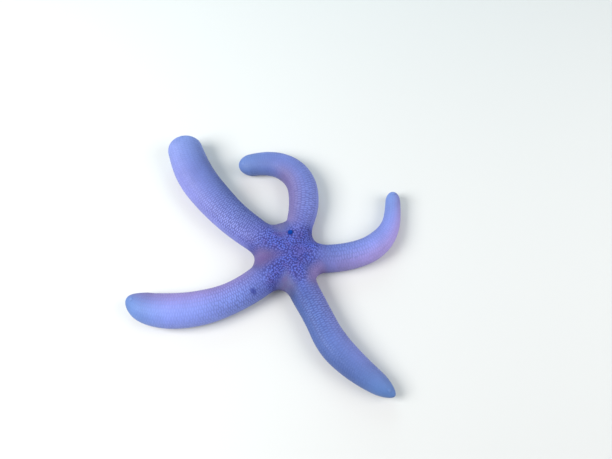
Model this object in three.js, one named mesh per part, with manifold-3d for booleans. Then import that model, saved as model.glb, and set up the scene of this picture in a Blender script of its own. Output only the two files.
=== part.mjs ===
// Blue sea star (Linckia laevigata), life size, lying on a flat floor on the soles of its five arms.
//
// Millimetres, +Z up. The upper (aboral) side faces up and the mouth faces the floor at Z = 0. Seen
// from above with +Y away from the viewer, +X is to the right. Headings are in degrees,
// counter-clockwise from +X. The origin is on the floor, under the middle of the whole animal.
//
// The body is one surface made of cross lines. A cross line leaves the ridge above an arm's axis, comes
// down the flank to the widest point, turns under to the flat sole, runs in to the lip of the
// ambulacral furrow and ends on the furrow's roof. In an arm it stands square to the axis. In the disc
// it swings round until it lies between two arms, where both share it, so that the notches between the
// arms come out round. Thin cuts part the body into a disc and three lengths of each arm. The sieve
// plate (madreporite), the plate and the eyespot at each arm's tip and the skin of the mouth are set in.

import * as THREE from "three";
import { mergeVertices } from "three/addons/utils/BufferGeometryUtils.js";
import Module from "manifold-3d";

const { lerp, clamp, smoothstep, degToRad, euclideanModulo } = THREE.MathUtils;
const { Vector2, Vector3 } = THREE;
const QUARTER_TURN = Math.PI / 2;

// ---- Driving dimensions ----------------------------------------------------------------------------

// The arms, counter-clockwise. Each leaves the centre at its heading, runs straight for a short way and
// then bends by the turns, in degrees, over equal stretches. The widths hold at 20, 40, 60, 80 and
// 100 % of the length. The tip is the length over which the end rounds off, and the lift is how far the
// end curls up from the floor. The notch is how far from the centre the disc's edge lies midway between
// this arm and the next.
const ARMS = [
  {
    name: "arm_right",
    heading: -4,
    length: 108.5,
    turns: [10, 13, 30, 32, 13],
    widths: [19.5, 19, 17.5, 12.5, 10],
    tip: 7,
    lift: 3,
    notch: 22,
  },
  {
    name: "arm_top",
    heading: 71.5,
    length: 112,
    turns: [6, 21, 43, 40, 25],
    widths: [18.5, 21.5, 20.5, 17.5, 15],
    tip: 9,
    lift: 2,
    notch: 25.5,
  },
  {
    name: "arm_upper_left",
    heading: 145,
    length: 125,
    turns: [-2, -9, -5, -15, -9],
    widths: [23, 24.5, 26.5, 27, 24],
    tip: 9,
    lift: 5,
    notch: 23.5,
  },
  {
    name: "arm_lower_left",
    heading: 223.5,
    length: 121.5,
    turns: [-11, -12.5, -13, -15, -30],
    widths: [21.5, 21.5, 23.5, 23, 16],
    tip: 14,
    lift: 3,
    notch: 24,
  },
  {
    name: "arm_lower_right",
    heading: 294,
    length: 119,
    turns: [5, -4, 20, 9, 0],
    widths: [21, 20, 21, 17.5, 10.5],
    tip: 14,
    lift: 2,
    notch: 24.5,
  },
];
const STRAIGHT_SHARE = 0.12; // of the length, before the first turn
const FIRST_WIDTH_SHARE = 0.2; // of the length, where the first width holds
const LIFT_LENGTH = 26; // over which an arm's end leaves the floor

// The disc, and how an arm's section grows out of it.
const NOTCH_EASE = 1.1; // how gently the outline turns into a notch
const ROOT = 27; // along the axis, where an arm's own section starts
const DISC_HEIGHT = 19;
const DISC_FADE = 45; // along the axis, where the disc's height has given way to the arm's
const DISC_END = 31; // along the axis, where the first cut parts an arm from the disc

// The section of an arm.
const STOUT_WIDTH = 26; // an arm this wide is STOUT_HEIGHT high
const STOUT_HEIGHT = 20;
const HEIGHT_POWER = 0.8; // under 1, so a slimmer arm is relatively higher
const WIDEST_LEVEL = 0.42; // of the height, where the section is widest
const FLANK_POWER = 0.92; // 1 is an ellipse, less is fuller
const SOLE_ROUND = 5; // from the widest point in to where the flat sole starts
const SOLE_LEAST = 0.55; // of the half width, which the sole keeps on a slim arm

// The furrow under each arm, and the mouth where the five furrows meet.
const FURROW_HALF_WIDTH = 2.1;
const FURROW_DEPTH = 3.2;
const FURROW_TAPER = 0.4; // share of the furrow's size that is lost towards the tip
const FURROW_END = 0.8; // of the tip's length, by which the furrow stops short of the tip
const FURROW_RUNOUT = 7; // over which the furrow closes at its end
const JAW_RADIUS = 5; // from the centre to the furrow's lip between two arms
const JAW_EASE = 0.3; // how sharply the lip turns round a jaw
const MOUTH_DEPTH = 5.5;
const MOUTH_FADE = 15; // along the axis, where the mouth's depth has given way to the furrow's

// The set-in pieces. Angles are in degrees above the widest level, up the flank or over the tip. The
// swing is explained at discPlan.
const SIEVE_PLATE = { arm: "arm_top", side: 1, swing: 0.53, angle: 76, radius: 1.7, depth: 0.9, crown: 0.6 };
const TIP_PLATE = { angle: 50, radius: 1.5, depth: 0.8, crown: 0.6 };
const EYESPOT = { angle: -58, radius: 0.6, depth: 0.5, crown: 0.5 };
const MOUTH_SKIN = { outer: 3.6, inner: 1.3, level: 2.1, thickness: 0.7, dish: 0.8 };

const LENGTHS = ["base", "middle", "outer"]; // of each arm
const GAP = 0.3; // between touching pieces
const SOCKET_ABOVE = 4; // how far a socket's cutter stands out of the surface

// Fineness of the faceted surface.
const DISC_STEPS = 7;
const STATION_STEP = 4.8;
const TIP_STEPS = 5;
const FLANK_STEPS = 7;
const UNDER_STEPS = 3;
const FURROW_STEPS = 2;
const BUTTON_SIDES = 12;
const CROWN_STEPS = 2;
const WELD = 1e-4;

// ---- Curves ----------------------------------------------------------------------------------------

function hermite(from, fromSlope, to, toSlope, t) {
  const t2 = t * t;
  const t3 = t2 * t;
  const start = (2 * t3 - 3 * t2 + 1) * from + (t3 - 2 * t2 + t) * fromSlope;
  return start + (3 * t2 - 2 * t3) * to + (t3 - t2) * toSlope;
}

// A smooth value along an arm from its evenly spaced values, the first at FIRST_WIDTH_SHARE.
function alongArm(values, share) {
  const last = values.length - 1;
  const place = clamp((share - FIRST_WIDTH_SHARE) / (1 - FIRST_WIDTH_SHARE), 0, 1) * last;
  const i = Math.min(Math.floor(place), last - 1);
  const slope = (k) => {
    const before = Math.max(k - 1, 0);
    const after = Math.min(k + 1, last);
    return (values[after] - values[before]) / (after - before);
  };
  return hermite(values[i], slope(i), values[i + 1], slope(i + 1), place - i);
}

const direction = (heading) => new Vector2(Math.cos(heading), Math.sin(heading));

// Where an arm's axis is, and its heading, at a distance s along it: a straight start and then arcs.
function axisAt(arm, s) {
  const straight = STRAIGHT_SHARE * arm.length;
  const stretch = (arm.length - straight) / arm.turns.length;
  const pieces = [[straight, 0], ...arm.turns.map((turn) => [stretch, degToRad(turn)])];
  const point = new Vector2(0, 0);
  let heading = degToRad(arm.heading);
  let left = s;
  for (const [length, turn] of pieces) {
    const run = Math.min(left, length);
    const bend = (turn * run) / length;
    const chord = bend === 0 ? run : (2 * run * Math.sin(bend / 2)) / bend;
    point.addScaledVector(direction(heading + bend / 2), chord);
    heading += bend;
    left -= run;
  }
  return { point, heading };
}

// The heights and half widths of an arm's section at s.
function sectionAt(arm, s) {
  const share = s / arm.length;
  const width = alongArm(arm.widths, share);
  const close = Math.sqrt(1 - clamp((s - arm.length + arm.tip) / arm.tip, 0, 1) ** 2);
  const armHeight = STOUT_HEIGHT * (width / STOUT_WIDTH) ** HEIGHT_POWER;
  const height = lerp(DISC_HEIGHT, armHeight, smoothstep(s, 0, DISC_FADE));
  const widest = WIDEST_LEVEL * height;
  const lift = arm.lift * clamp((s - arm.length + LIFT_LENGTH) / LIFT_LENGTH, 0, 1) ** 2;
  const furrowLeft = clamp((arm.length - FURROW_END * arm.tip - s) / FURROW_RUNOUT, 0, 1);
  const furrow = Math.sqrt(furrowLeft) * (1 - FURROW_TAPER * share);
  return {
    halfWidth: (width / 2) * close,
    top: widest + (height - widest) * close + lift,
    widest: widest + lift,
    sole: widest * (1 - close) + lift,
    lip: FURROW_HALF_WIDTH * furrow,
    depth: lerp(MOUTH_DEPTH, FURROW_DEPTH, smoothstep(s, 0, MOUTH_FADE)) * furrow,
  };
}

// ---- Cross lines -----------------------------------------------------------------------------------

// The plan of the cross line at s on one side of an arm: side 1 is the left one and -1 the right one.
function armPlan(arm, side, s) {
  const { point, heading } = axisAt(arm, s);
  const section = sectionAt(arm, s);
  const across = direction(heading + side * QUARTER_TURN);
  return {
    axis: point,
    outline: point.clone().addScaledVector(across, section.halfWidth),
    lip: point.clone().addScaledVector(across, section.lip),
    section,
  };
}

// The plan of a cross line in the disc: swing 0 lies midway between two arms, and swing 1 is the root.
// Near swing 0 the axis end hardly moves, so both neighbours meet there without a crease.
function discPlan(arm, side, swing) {
  const neighbour = ARMS[euclideanModulo(ARMS.indexOf(arm) + side, ARMS.length)];
  const apart = euclideanModulo(side * (neighbour.heading - arm.heading), 360);
  const between = degToRad(arm.heading + (side * apart) / 2);
  const root = armPlan(arm, side, ROOT);
  const ahead = direction(axisAt(arm, ROOT).heading);
  const notch = side > 0 ? arm.notch : neighbour.notch;
  const along = direction(between - side * QUARTER_TURN);
  const sweep = (radius, end, ease) => {
    const start = direction(between).multiplyScalar(radius);
    const reach = start.distanceTo(end);
    const part = (k) =>
      hermite(start[k], along[k] * reach * ease, end[k], ahead[k] * reach * NOTCH_EASE, swing);
    return new Vector2(part("x"), part("y"));
  };
  const s = ROOT * (2 * swing ** 2 - swing ** 3);
  return {
    axis: axisAt(arm, s).point,
    outline: sweep(notch, root.outline, NOTCH_EASE),
    lip: sweep(JAW_RADIUS, root.lip, JAW_EASE),
    section: sectionAt(arm, s),
  };
}

// A point of a cross line on the flank: the angle is a quarter turn on the ridge and 0 at the widest.
function flankPoint({ axis, outline, section }, angle) {
  const out = Math.max(0, Math.cos(angle)) ** FLANK_POWER;
  const up = Math.max(0, Math.sin(angle)) ** FLANK_POWER;
  const place = axis.clone().lerp(outline, out);
  return new Vector3(place.x, place.y, lerp(section.widest, section.top, up));
}

function crossLine(plan) {
  const { axis, outline, lip, section } = plan;
  const points = [];
  for (let i = 0; i <= FLANK_STEPS; i++) {
    points.push(flankPoint(plan, QUARTER_TURN * (1 - i / FLANK_STEPS)));
  }
  const reach = Math.max(axis.distanceTo(outline), SOLE_ROUND);
  const heel = axis.clone().lerp(outline, Math.max(1 - SOLE_ROUND / reach, SOLE_LEAST));
  for (let i = 1; i <= UNDER_STEPS; i++) {
    const angle = (QUARTER_TURN * i) / UNDER_STEPS;
    const place = heel.clone().lerp(outline, Math.cos(angle));
    points.push(new Vector3(place.x, place.y, lerp(section.widest, section.sole, Math.sin(angle))));
  }
  points.push(new Vector3(lip.x, lip.y, section.sole));
  for (let i = 1; i <= FURROW_STEPS; i++) {
    const angle = (QUARTER_TURN * i) / FURROW_STEPS;
    const place = lip.clone().lerp(axis, 1 - Math.cos(angle));
    points.push(new Vector3(place.x, place.y, section.sole + section.depth * Math.sin(angle)));
  }
  return points;
}

// ---- Facets ----------------------------------------------------------------------------------------

// Merges shared corners and drops the facets that collapse, such as those at an arm's very tip.
function weld(geometry) {
  const bare = new THREE.BufferGeometry();
  bare.setAttribute("position", geometry.getAttribute("position"));
  bare.setIndex(geometry.index);
  const merged = mergeVertices(bare, WELD);
  const kept = [];
  for (let i = 0; i < merged.index.count; i += 3) {
    const corners = [0, 1, 2].map((k) => merged.index.getX(i + k));
    if (new Set(corners).size === 3) kept.push(...corners);
  }
  merged.setIndex(kept);
  return merged;
}

class Surface {
  positions = [];

  facet(...corners) {
    for (const corner of corners) this.positions.push(corner.x, corner.y, corner.z);
  }

  // Joins cross lines of one side, from the centre outwards, with facets that face out.
  sheet(lines, side) {
    for (let i = 1; i < lines.length; i++) {
      for (let k = 1; k < lines[i].length; k++) {
        const ring = [lines[i - 1][k - 1], lines[i][k - 1], lines[i][k], lines[i - 1][k]];
        const [a, b, c, d] = side > 0 ? ring : ring.reverse();
        this.facet(a, b, c);
        this.facet(a, c, d);
      }
    }
  }

  // The flat end of a piece, square to the arm's axis at s, facing outwards along it (1) or back (-1).
  end(arm, s, facing) {
    const { point, heading } = axisAt(arm, s);
    const left = crossLine(armPlan(arm, 1, s));
    const right = crossLine(armPlan(arm, -1, s));
    const rim = [...left, ...right.slice(1, -1).reverse()];
    const across = direction(heading + QUARTER_TURN);
    const flat = rim.map((p) => new Vector2(new Vector2(p.x, p.y).sub(point).dot(across), p.z));
    for (const [a, b, c] of THREE.ShapeUtils.triangulateShape(flat, [])) {
      const turn = THREE.ShapeUtils.area([flat[a], flat[b], flat[c]]);
      if (turn * facing > 0) this.facet(rim[a], rim[b], rim[c]);
      else this.facet(rim[a], rim[c], rim[b]);
    }
  }

  geometry() {
    const position = new THREE.Float32BufferAttribute(this.positions, 3);
    return weld(new THREE.BufferGeometry().setAttribute("position", position));
  }
}

function discGeometry() {
  const surface = new Surface();
  for (const arm of ARMS) {
    for (const side of [1, -1]) {
      const lines = [];
      for (let i = 0; i <= DISC_STEPS; i++) {
        lines.push(crossLine(discPlan(arm, side, i / DISC_STEPS)));
      }
      lines.push(crossLine(armPlan(arm, side, DISC_END - GAP / 2)));
      surface.sheet(lines, side);
    }
    surface.end(arm, DISC_END - GAP / 2, 1);
  }
  return surface.geometry();
}

// A length of an arm between two stations. The outer length runs on round the tip.
function armGeometry(arm, from, to) {
  const hasTip = to === arm.length;
  const straightEnd = hasTip ? arm.length - arm.tip : to;
  const steps = Math.max(2, Math.round((straightEnd - from) / STATION_STEP));
  const stations = Array.from({ length: steps + 1 }, (_, i) => lerp(from, straightEnd, i / steps));
  if (hasTip) {
    for (let i = 1; i <= TIP_STEPS; i++) {
      stations.push(straightEnd + arm.tip * Math.sin((QUARTER_TURN * i) / TIP_STEPS));
    }
  }
  const surface = new Surface();
  for (const side of [1, -1]) {
    surface.sheet(stations.map((s) => crossLine(armPlan(arm, side, s))), side);
  }
  surface.end(arm, from, -1);
  if (!hasTip) surface.end(arm, to, 1);
  return surface.geometry();
}

// ---- Set-in pieces ---------------------------------------------------------------------------------

const wasm = await Module();
wasm.setup();

function solidOf(geometry) {
  const { index, attributes } = weld(geometry);
  const triVerts = new Uint32Array(index.array);
  const vertProperties = new Float32Array(attributes.position.array);
  return new wasm.Manifold(new wasm.Mesh({ numProp: 3, vertProperties, triVerts }));
}

function geometryOf(solid) {
  const { vertProperties, triVerts } = solid.getMesh();
  return new THREE.BufferGeometry()
    .setAttribute("position", new THREE.BufferAttribute(vertProperties, 3))
    .setIndex(new THREE.BufferAttribute(triVerts, 1));
}

// A round button along +Y: a straight wall from -depth up to the surface, under a domed crown.
function buttonGeometry({ radius, depth, crown }) {
  const profile = [new Vector2(0, -depth), new Vector2(radius, -depth)];
  for (let i = 0; i < CROWN_STEPS; i++) {
    const angle = (QUARTER_TURN * i) / CROWN_STEPS;
    profile.push(new Vector2(radius * Math.cos(angle), crown * Math.sin(angle)));
  }
  profile.push(new Vector2(0, crown));
  return weld(new THREE.LatheGeometry(profile, BUTTON_SIDES));
}

// The hole that such a button sits in, with a gap all round.
function socketGeometry({ radius, depth }) {
  const wall = radius + GAP;
  const floor = -depth - GAP;
  const profile = [
    new Vector2(0, floor),
    new Vector2(wall, floor),
    new Vector2(wall, SOCKET_ABOVE),
    new Vector2(0, SOCKET_ABOVE),
  ];
  return weld(new THREE.LatheGeometry(profile, BUTTON_SIDES));
}

// Turns and moves a button so that it stands on the surface at a place, along its normal.
function placed(geometry, { place, normal }) {
  const turn = new THREE.Quaternion().setFromUnitVectors(new Vector3(0, 1, 0), normal);
  return geometry.applyQuaternion(turn).translate(place.x, place.y, place.z);
}

// Sets a button into a piece of the body, and returns the piece with its socket and the button.
function setIn(bodyGeometry, button, seat) {
  const socket = solidOf(placed(socketGeometry(button), seat));
  return {
    body: geometryOf(solidOf(bodyGeometry).subtract(socket)),
    button: placed(buttonGeometry(button), seat),
  };
}

// The seat of the sieve plate, on the disc's flank towards the notch beside the top arm.
function sievePlateSeat() {
  const { side, swing } = SIEVE_PLATE;
  const arm = ARMS.find(({ name }) => name === SIEVE_PLATE.arm);
  const angle = degToRad(SIEVE_PLATE.angle);
  const step = 0.02;
  const at = (swingStep, angleStep) =>
    flankPoint(discPlan(arm, side, swing + swingStep), angle + angleStep);
  const place = at(0, 0);
  const normal = at(step, 0).sub(place).cross(at(0, -step).sub(place));
  return { place, normal: normal.multiplyScalar(side).normalize() };
}

// A seat on the middle line of an arm's rounded end, at an angle above (or below, if negative) its
// foremost point.
function tipSeat(arm, angle) {
  const radians = degToRad(Math.abs(angle));
  const s = arm.length - arm.tip * (1 - Math.cos(radians));
  const { point, heading } = axisAt(arm, s);
  const { top, sole, widest } = sectionAt(arm, s);
  const level = angle > 0 ? top : sole;
  const rise = (level - widest) / Math.sin(radians);
  const slope = new Vector2(Math.cos(radians) / arm.tip, Math.sin(radians) / rise).normalize();
  const ahead = direction(heading).multiplyScalar(slope.x);
  return {
    place: new Vector3(point.x, point.y, level),
    normal: new Vector3(ahead.x, ahead.y, slope.y),
  };
}

// A dished ring of skin round the mouth's opening, held between the jaws.
function mouthSkinGeometry() {
  const { outer, inner, level, thickness, dish } = MOUTH_SKIN;
  const profile = [
    new Vector2(inner, level + dish),
    new Vector2(outer, level),
    new Vector2(outer, level + thickness),
    new Vector2(inner, level + dish + thickness),
    new Vector2(inner, level + dish),
  ];
  return weld(new THREE.LatheGeometry(profile, BUTTON_SIDES)).rotateX(QUARTER_TURN);
}

// ---- The group -------------------------------------------------------------------------------------

const FINISHES = {
  skin: { color: 0x8290da, roughness: 0.55 },
  sievePlate: { color: 0x2a5cb4, roughness: 0.6 },
  tipPlate: { color: 0x7ba0dc, roughness: 0.5 },
  eyespot: { color: 0xb03428, roughness: 0.3 },
  mouth: { color: 0xcdb79a, roughness: 0.45 },
};

const star = new THREE.Group();
function add(name, geometry, finish) {
  const material = new THREE.MeshStandardMaterial({ ...FINISHES[finish], metalness: 0 });
  const mesh = new THREE.Mesh(weld(geometry), material);
  mesh.name = name;
  star.add(mesh);
}

const disc = setIn(discGeometry(), SIEVE_PLATE, sievePlateSeat());
add("disc", disc.body, "skin");
add("madreporite", disc.button, "sievePlate");
add("mouth_skin", mouthSkinGeometry(), "mouth");

for (const arm of ARMS) {
  const cuts = LENGTHS.map((_, i) => lerp(DISC_END, arm.length, i / LENGTHS.length));
  LENGTHS.forEach((part, i) => {
    const from = cuts[i] + GAP / 2;
    if (i < LENGTHS.length - 1) {
      add(`${arm.name}_${part}`, armGeometry(arm, from, cuts[i + 1] - GAP / 2), "skin");
      return;
    }
    const whole = armGeometry(arm, from, arm.length);
    const plate = setIn(whole, TIP_PLATE, tipSeat(arm, TIP_PLATE.angle));
    const eye = setIn(plate.body, EYESPOT, tipSeat(arm, EYESPOT.angle));
    add(`${arm.name}_${part}`, eye.body, "skin");
    add(`${arm.name}_tip_plate`, plate.button, "tipPlate");
    add(`${arm.name}_eyespot`, eye.button, "eyespot");
  });
}

// Brings the middle of the whole animal over the origin.
const middle = new THREE.Box3().setFromObject(star).getCenter(new Vector3());
for (const mesh of star.children) mesh.geometry.translate(-middle.x, -middle.y, 0);

export default star;
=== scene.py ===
# %% [markdown]
# # A blue sea star, life size, as a museum model
#
# The real animal (Linckia laevigata) is a skeleton of small limy plates held together by skin. Seen from
# above it is blue, with a pattern of pale raised plates and darker skin between them. Below, each arm
# has a furrow with spines and tube feet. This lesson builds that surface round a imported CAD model, which
# holds the size and the pose. The meshes are in metres, in the frame of that model, with +Z up.

# %% The frame
import math

import bmesh
import bpy
import numpy as np
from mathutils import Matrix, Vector


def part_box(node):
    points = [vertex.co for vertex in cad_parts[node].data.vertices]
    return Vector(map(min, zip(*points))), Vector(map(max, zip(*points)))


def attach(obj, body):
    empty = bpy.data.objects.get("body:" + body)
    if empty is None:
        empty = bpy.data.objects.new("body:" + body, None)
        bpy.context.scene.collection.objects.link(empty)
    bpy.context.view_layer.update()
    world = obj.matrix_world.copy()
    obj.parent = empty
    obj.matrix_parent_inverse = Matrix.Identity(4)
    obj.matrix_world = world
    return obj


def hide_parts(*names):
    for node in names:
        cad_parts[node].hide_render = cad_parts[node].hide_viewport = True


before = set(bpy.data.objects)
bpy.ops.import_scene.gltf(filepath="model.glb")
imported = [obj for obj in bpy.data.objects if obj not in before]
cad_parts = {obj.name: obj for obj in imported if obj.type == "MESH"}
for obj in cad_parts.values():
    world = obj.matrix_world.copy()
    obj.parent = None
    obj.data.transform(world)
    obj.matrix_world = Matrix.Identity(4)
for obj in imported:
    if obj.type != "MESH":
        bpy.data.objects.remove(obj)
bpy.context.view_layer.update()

# %% [markdown]
# ## The arms' course
#
# A skin could be sculpted over the solids, but then nothing would know where along an arm a point is.
# So the skin is made from the same curves as the solids: an arm's axis is a straight start and a chain
# of arcs, and its width is a smooth curve through a few values. Distances here are in millimetres.

# %% Named sizes of the body
MM = 0.001
# Headings and turns are in degrees. The widths hold at even steps from a fifth of the length to its end.
# The tip is the length over which the end rounds off, and the lift is how far the end curls up. The notch
# is how far from the centre the disc's edge lies midway between this arm and the next.
ARMS = {
    "arm_right": dict(
        heading=-4, length=108.5, turns=(10, 13, 30, 32, 13), widths=(19.5, 19, 17.5, 12.5, 10),
        tip=7, lift=3, notch=22,
    ),
    "arm_top": dict(
        heading=71.5, length=112, turns=(6, 21, 43, 40, 25), widths=(18.5, 21.5, 20.5, 17.5, 15),
        tip=9, lift=2, notch=25.5,
    ),
    "arm_upper_left": dict(
        heading=145, length=125, turns=(-2, -9, -5, -15, -9), widths=(23, 24.5, 26.5, 27, 24),
        tip=9, lift=5, notch=23.5,
    ),
    "arm_lower_left": dict(
        heading=223.5, length=121.5, turns=(-11, -12.5, -13, -15, -30), widths=(21.5, 21.5, 23.5, 23, 16),
        tip=14, lift=3, notch=24,
    ),
    "arm_lower_right": dict(
        heading=294, length=119, turns=(5, -4, 20, 9, 0), widths=(21, 20, 21, 17.5, 10.5),
        tip=14, lift=2, notch=24.5,
    ),
}
NAMES = list(ARMS)
SIDES = (1, -1)  # left and right of an arm, seen from above and looking out along it
STRAIGHT_SHARE, FIRST_WIDTH_SHARE = 0.12, 0.2  # of the length: before the first turn, at the first width
LIFT_LENGTH = 26  # over which an arm's end leaves the floor
ROOT, NOTCH_EASE = 27, 1.1  # where an arm's own section starts, and how gently the edge turns into a notch
DISC_HEIGHT, DISC_FADE = 19, 45  # the disc's height and how far along an arm it fades out
STOUT_WIDTH, STOUT_HEIGHT, HEIGHT_POWER = 26, 20, 0.8  # a stout arm, and how height follows width
WIDEST_LEVEL, FLANK_POWER = 0.42, 0.92  # of the height, where an arm is widest, and how full its flank is
SOLE_ROUND, SOLE_LEAST = 5, 0.55  # the sole's rounded edge in mm, and the least share of the width inside
FURROW_HALF_WIDTH, FURROW_DEPTH, FURROW_TAPER, FURROW_END, FURROW_RUNOUT = 2.1, 3.2, 0.4, 0.8, 7
JAW_RADIUS, JAW_EASE, MOUTH_DEPTH, MOUTH_FADE = 5, 0.3, 5.5, 15

mouth_low, mouth_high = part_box("mouth_skin")
CENTRE = np.array(((mouth_low + mouth_high) / 2).to_2d()) / MM
print("disc centre in mm:", CENTRE.round(2))

# %% Curves along an arm
def hermite(start, start_slope, end, end_slope, t):
    """A smooth course from start to end."""
    start_part = (2 * t**3 - 3 * t**2 + 1) * start + (t**3 - 2 * t**2 + t) * start_slope
    return start_part + (3 * t**2 - 2 * t**3) * end + (t**3 - t**2) * end_slope


def smooth(x, low, high):
    """0 below low and 1 above high, with a smooth step between them."""
    t = np.clip((x - low) / (high - low), 0, 1)
    return t * t * (3 - 2 * t)


def blend(start, end, share):
    """From start to end by a share from 0 to 1."""
    return start + (end - start) * share


def direction(heading):
    return np.stack([np.cos(heading), np.sin(heading)], -1)


def along_arm(values, share):
    """A smooth value along an arm from evenly spaced values."""
    values = np.array(values, float)
    last = len(values) - 1
    place = np.clip((share - FIRST_WIDTH_SHARE) / (1 - FIRST_WIDTH_SHARE), 0, 1) * last
    i = np.minimum(place.astype(int), last - 1)
    slope = np.gradient(values)
    return hermite(values[i], slope[i], values[i + 1], slope[i + 1], place - i)


def axis_at(arm, s):
    """Points and headings of an arm's axis at the distances s along it."""
    straight = STRAIGHT_SHARE * arm["length"]
    stretch = (arm["length"] - straight) / len(arm["turns"])
    point = np.zeros(s.shape + (2,))
    heading = np.full(s.shape, math.radians(arm["heading"]))
    left = s
    for length, turn in [(straight, 0), *((stretch, math.radians(t)) for t in arm["turns"])]:
        run = np.minimum(left, length)
        bend = turn * run / length
        chord = run * np.sinc(bend / math.tau)
        point = point + chord[..., None] * direction(heading + bend / 2)
        heading = heading + bend
        left = left - run
    return point, heading


PROBE = np.array([0.0, 60.0])  # distances along an arm at which the first cells print what they made
print("arm_right axis at 60 mm:", axis_at(ARMS["arm_right"], PROBE)[0][1].round(1))

# %% [markdown]
# ## Cross lines
#
# A cross line leaves the ridge, comes down the flank, turns under to the sole and ends on the roof of
# the furrow. In the disc it swings round until it lies between two arms. Joining cross lines gives the
# whole body as one net with no seams between disc and arms, and every point of the net knows its place.

# %% The section of an arm and the plan of its cross lines
def section_at(arm, s):
    """Heights and half widths of an arm's section at the distances s."""
    share = s / arm["length"]
    width = along_arm(arm["widths"], share)
    close = np.sqrt(1 - np.clip((s - arm["length"] + arm["tip"]) / arm["tip"], 0, 1) ** 2)
    arm_height = STOUT_HEIGHT * (width / STOUT_WIDTH) ** HEIGHT_POWER
    height = blend(DISC_HEIGHT, arm_height, smooth(s, 0, DISC_FADE))
    widest = WIDEST_LEVEL * height
    lift = arm["lift"] * np.clip((s - arm["length"] + LIFT_LENGTH) / LIFT_LENGTH, 0, 1) ** 2
    furrow_left = np.clip((arm["length"] - FURROW_END * arm["tip"] - s) / FURROW_RUNOUT, 0, 1)
    furrow = np.sqrt(furrow_left) * (1 - FURROW_TAPER * share)
    depth = blend(MOUTH_DEPTH, FURROW_DEPTH, smooth(s, 0, MOUTH_FADE))
    return dict(
        half_width=width / 2 * close,
        top=blend(widest, height, close) + lift,
        widest=widest + lift,
        sole=widest * (1 - close) + lift,
        lip=FURROW_HALF_WIDTH * furrow,
        depth=depth * furrow,
    )


def arm_plan(arm, side, s):
    """Where the cross lines at s run in plan on one side of an arm."""
    point, heading = axis_at(arm, s)
    section = section_at(arm, s)
    across = direction(heading + side * math.pi / 2)
    outline = point + across * section["half_width"][:, None]
    lip = point + across * section["lip"][:, None]
    return dict(s=s, axis=point, outline=outline, lip_place=lip, **section)


def disc_plan(name, side, swing):
    """The same in the disc: swing 0 lies midway between two arms and swing 1 is the arm's root."""
    arm = ARMS[name]
    neighbour = ARMS[NAMES[(NAMES.index(name) + side) % len(NAMES)]]
    apart = (side * (neighbour["heading"] - arm["heading"])) % 360
    between = math.radians(arm["heading"] + side * apart / 2)
    root = arm_plan(arm, side, np.array([float(ROOT)]))
    ahead = direction(axis_at(arm, np.array([float(ROOT)]))[1])[0]
    along = direction(between - side * math.pi / 2)
    t = swing[:, None]

    def sweep(radius, end, ease):
        start = direction(between) * radius
        reach = np.linalg.norm(end - start)
        return hermite(start, along * reach * ease, end, ahead * reach * NOTCH_EASE, t)

    s = ROOT * (2 * swing**2 - swing**3)
    notch = (arm if side > 0 else neighbour)["notch"]
    outline = sweep(notch, root["outline"][0], NOTCH_EASE)
    lip = sweep(JAW_RADIUS, root["lip_place"][0], JAW_EASE)
    return dict(s=s, axis=axis_at(arm, s)[0], outline=outline, lip_place=lip, **section_at(arm, s))


print("arm_top half width at 60 mm:", section_at(ARMS["arm_top"], PROBE)["half_width"][1].round(1))

# %% Cross lines from a plan
FLANK_STEPS, UNDER_STEPS, SOLE_STEPS, FURROW_STEPS = 28, 10, 10, 8  # in turn from the ridge down


def cross_lines(plan):
    """The net of one side: one row for each cross line, from the ridge to the furrow's roof."""
    axis, outline, lip = plan["axis"], plan["outline"], plan["lip_place"]
    reach = np.linalg.norm(outline - axis, axis=1)
    heel_share = np.maximum(1 - SOLE_ROUND / np.maximum(reach, SOLE_ROUND), SOLE_LEAST)
    heel = blend(axis, outline, heel_share[:, None])
    columns = []

    def column(place, level):
        columns.append(np.concatenate([place, level[:, None]], 1))

    for angle in np.linspace(math.pi / 2, 0, FLANK_STEPS + 1):
        out = max(0.0, math.cos(angle)) ** FLANK_POWER
        up = max(0.0, math.sin(angle)) ** FLANK_POWER
        column(blend(axis, outline, out), blend(plan["widest"], plan["top"], up))
    for angle in np.linspace(0, math.pi / 2, UNDER_STEPS + 1)[1:]:
        level = blend(plan["widest"], plan["sole"], math.sin(angle))
        column(blend(heel, outline, math.cos(angle)), level)
    for share in np.linspace(0, 1, SOLE_STEPS + 1)[1:]:
        column(blend(heel, lip, share), plan["sole"])
    for angle in np.linspace(0, math.pi / 2, FURROW_STEPS + 1)[1:]:
        column(blend(lip, axis, 1 - math.cos(angle)), plan["sole"] + plan["depth"] * math.sin(angle))
    return np.stack(columns, 1)


# %% The net of the whole body
DISC_LINES, STATION_STEP, TIP_LINES = 26, 0.85, 14  # the step between lines on the arms is in mm


def side_net(name, side):
    """One side of one arm with its share of the disc, out to the tip."""
    arm = ARMS[name]
    round_from = arm["length"] - arm["tip"]
    steps = round((round_from - ROOT) / STATION_STEP)
    tip_turn = np.linspace(0, math.pi / 2, TIP_LINES + 1)[1:]
    stations = np.concatenate([
        np.linspace(ROOT, round_from, steps + 1)[1:],
        round_from + arm["tip"] * np.sin(tip_turn),
    ])
    disc = disc_plan(name, side, np.linspace(0, 1, DISC_LINES + 1))
    outer = arm_plan(arm, side, stations)
    plan = {key: np.concatenate([disc[key], outer[key]]) for key in disc}
    points = cross_lines(plan)
    points[..., :2] += CENTRE
    return dict(name=name, side=side, s=plan["s"], points=points)


nets = [side_net(name, side) for name in NAMES for side in SIDES]
print("cross lines:", sum(len(net["s"]) for net in nets), "points in each:", nets[0]["points"].shape[1])

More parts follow.
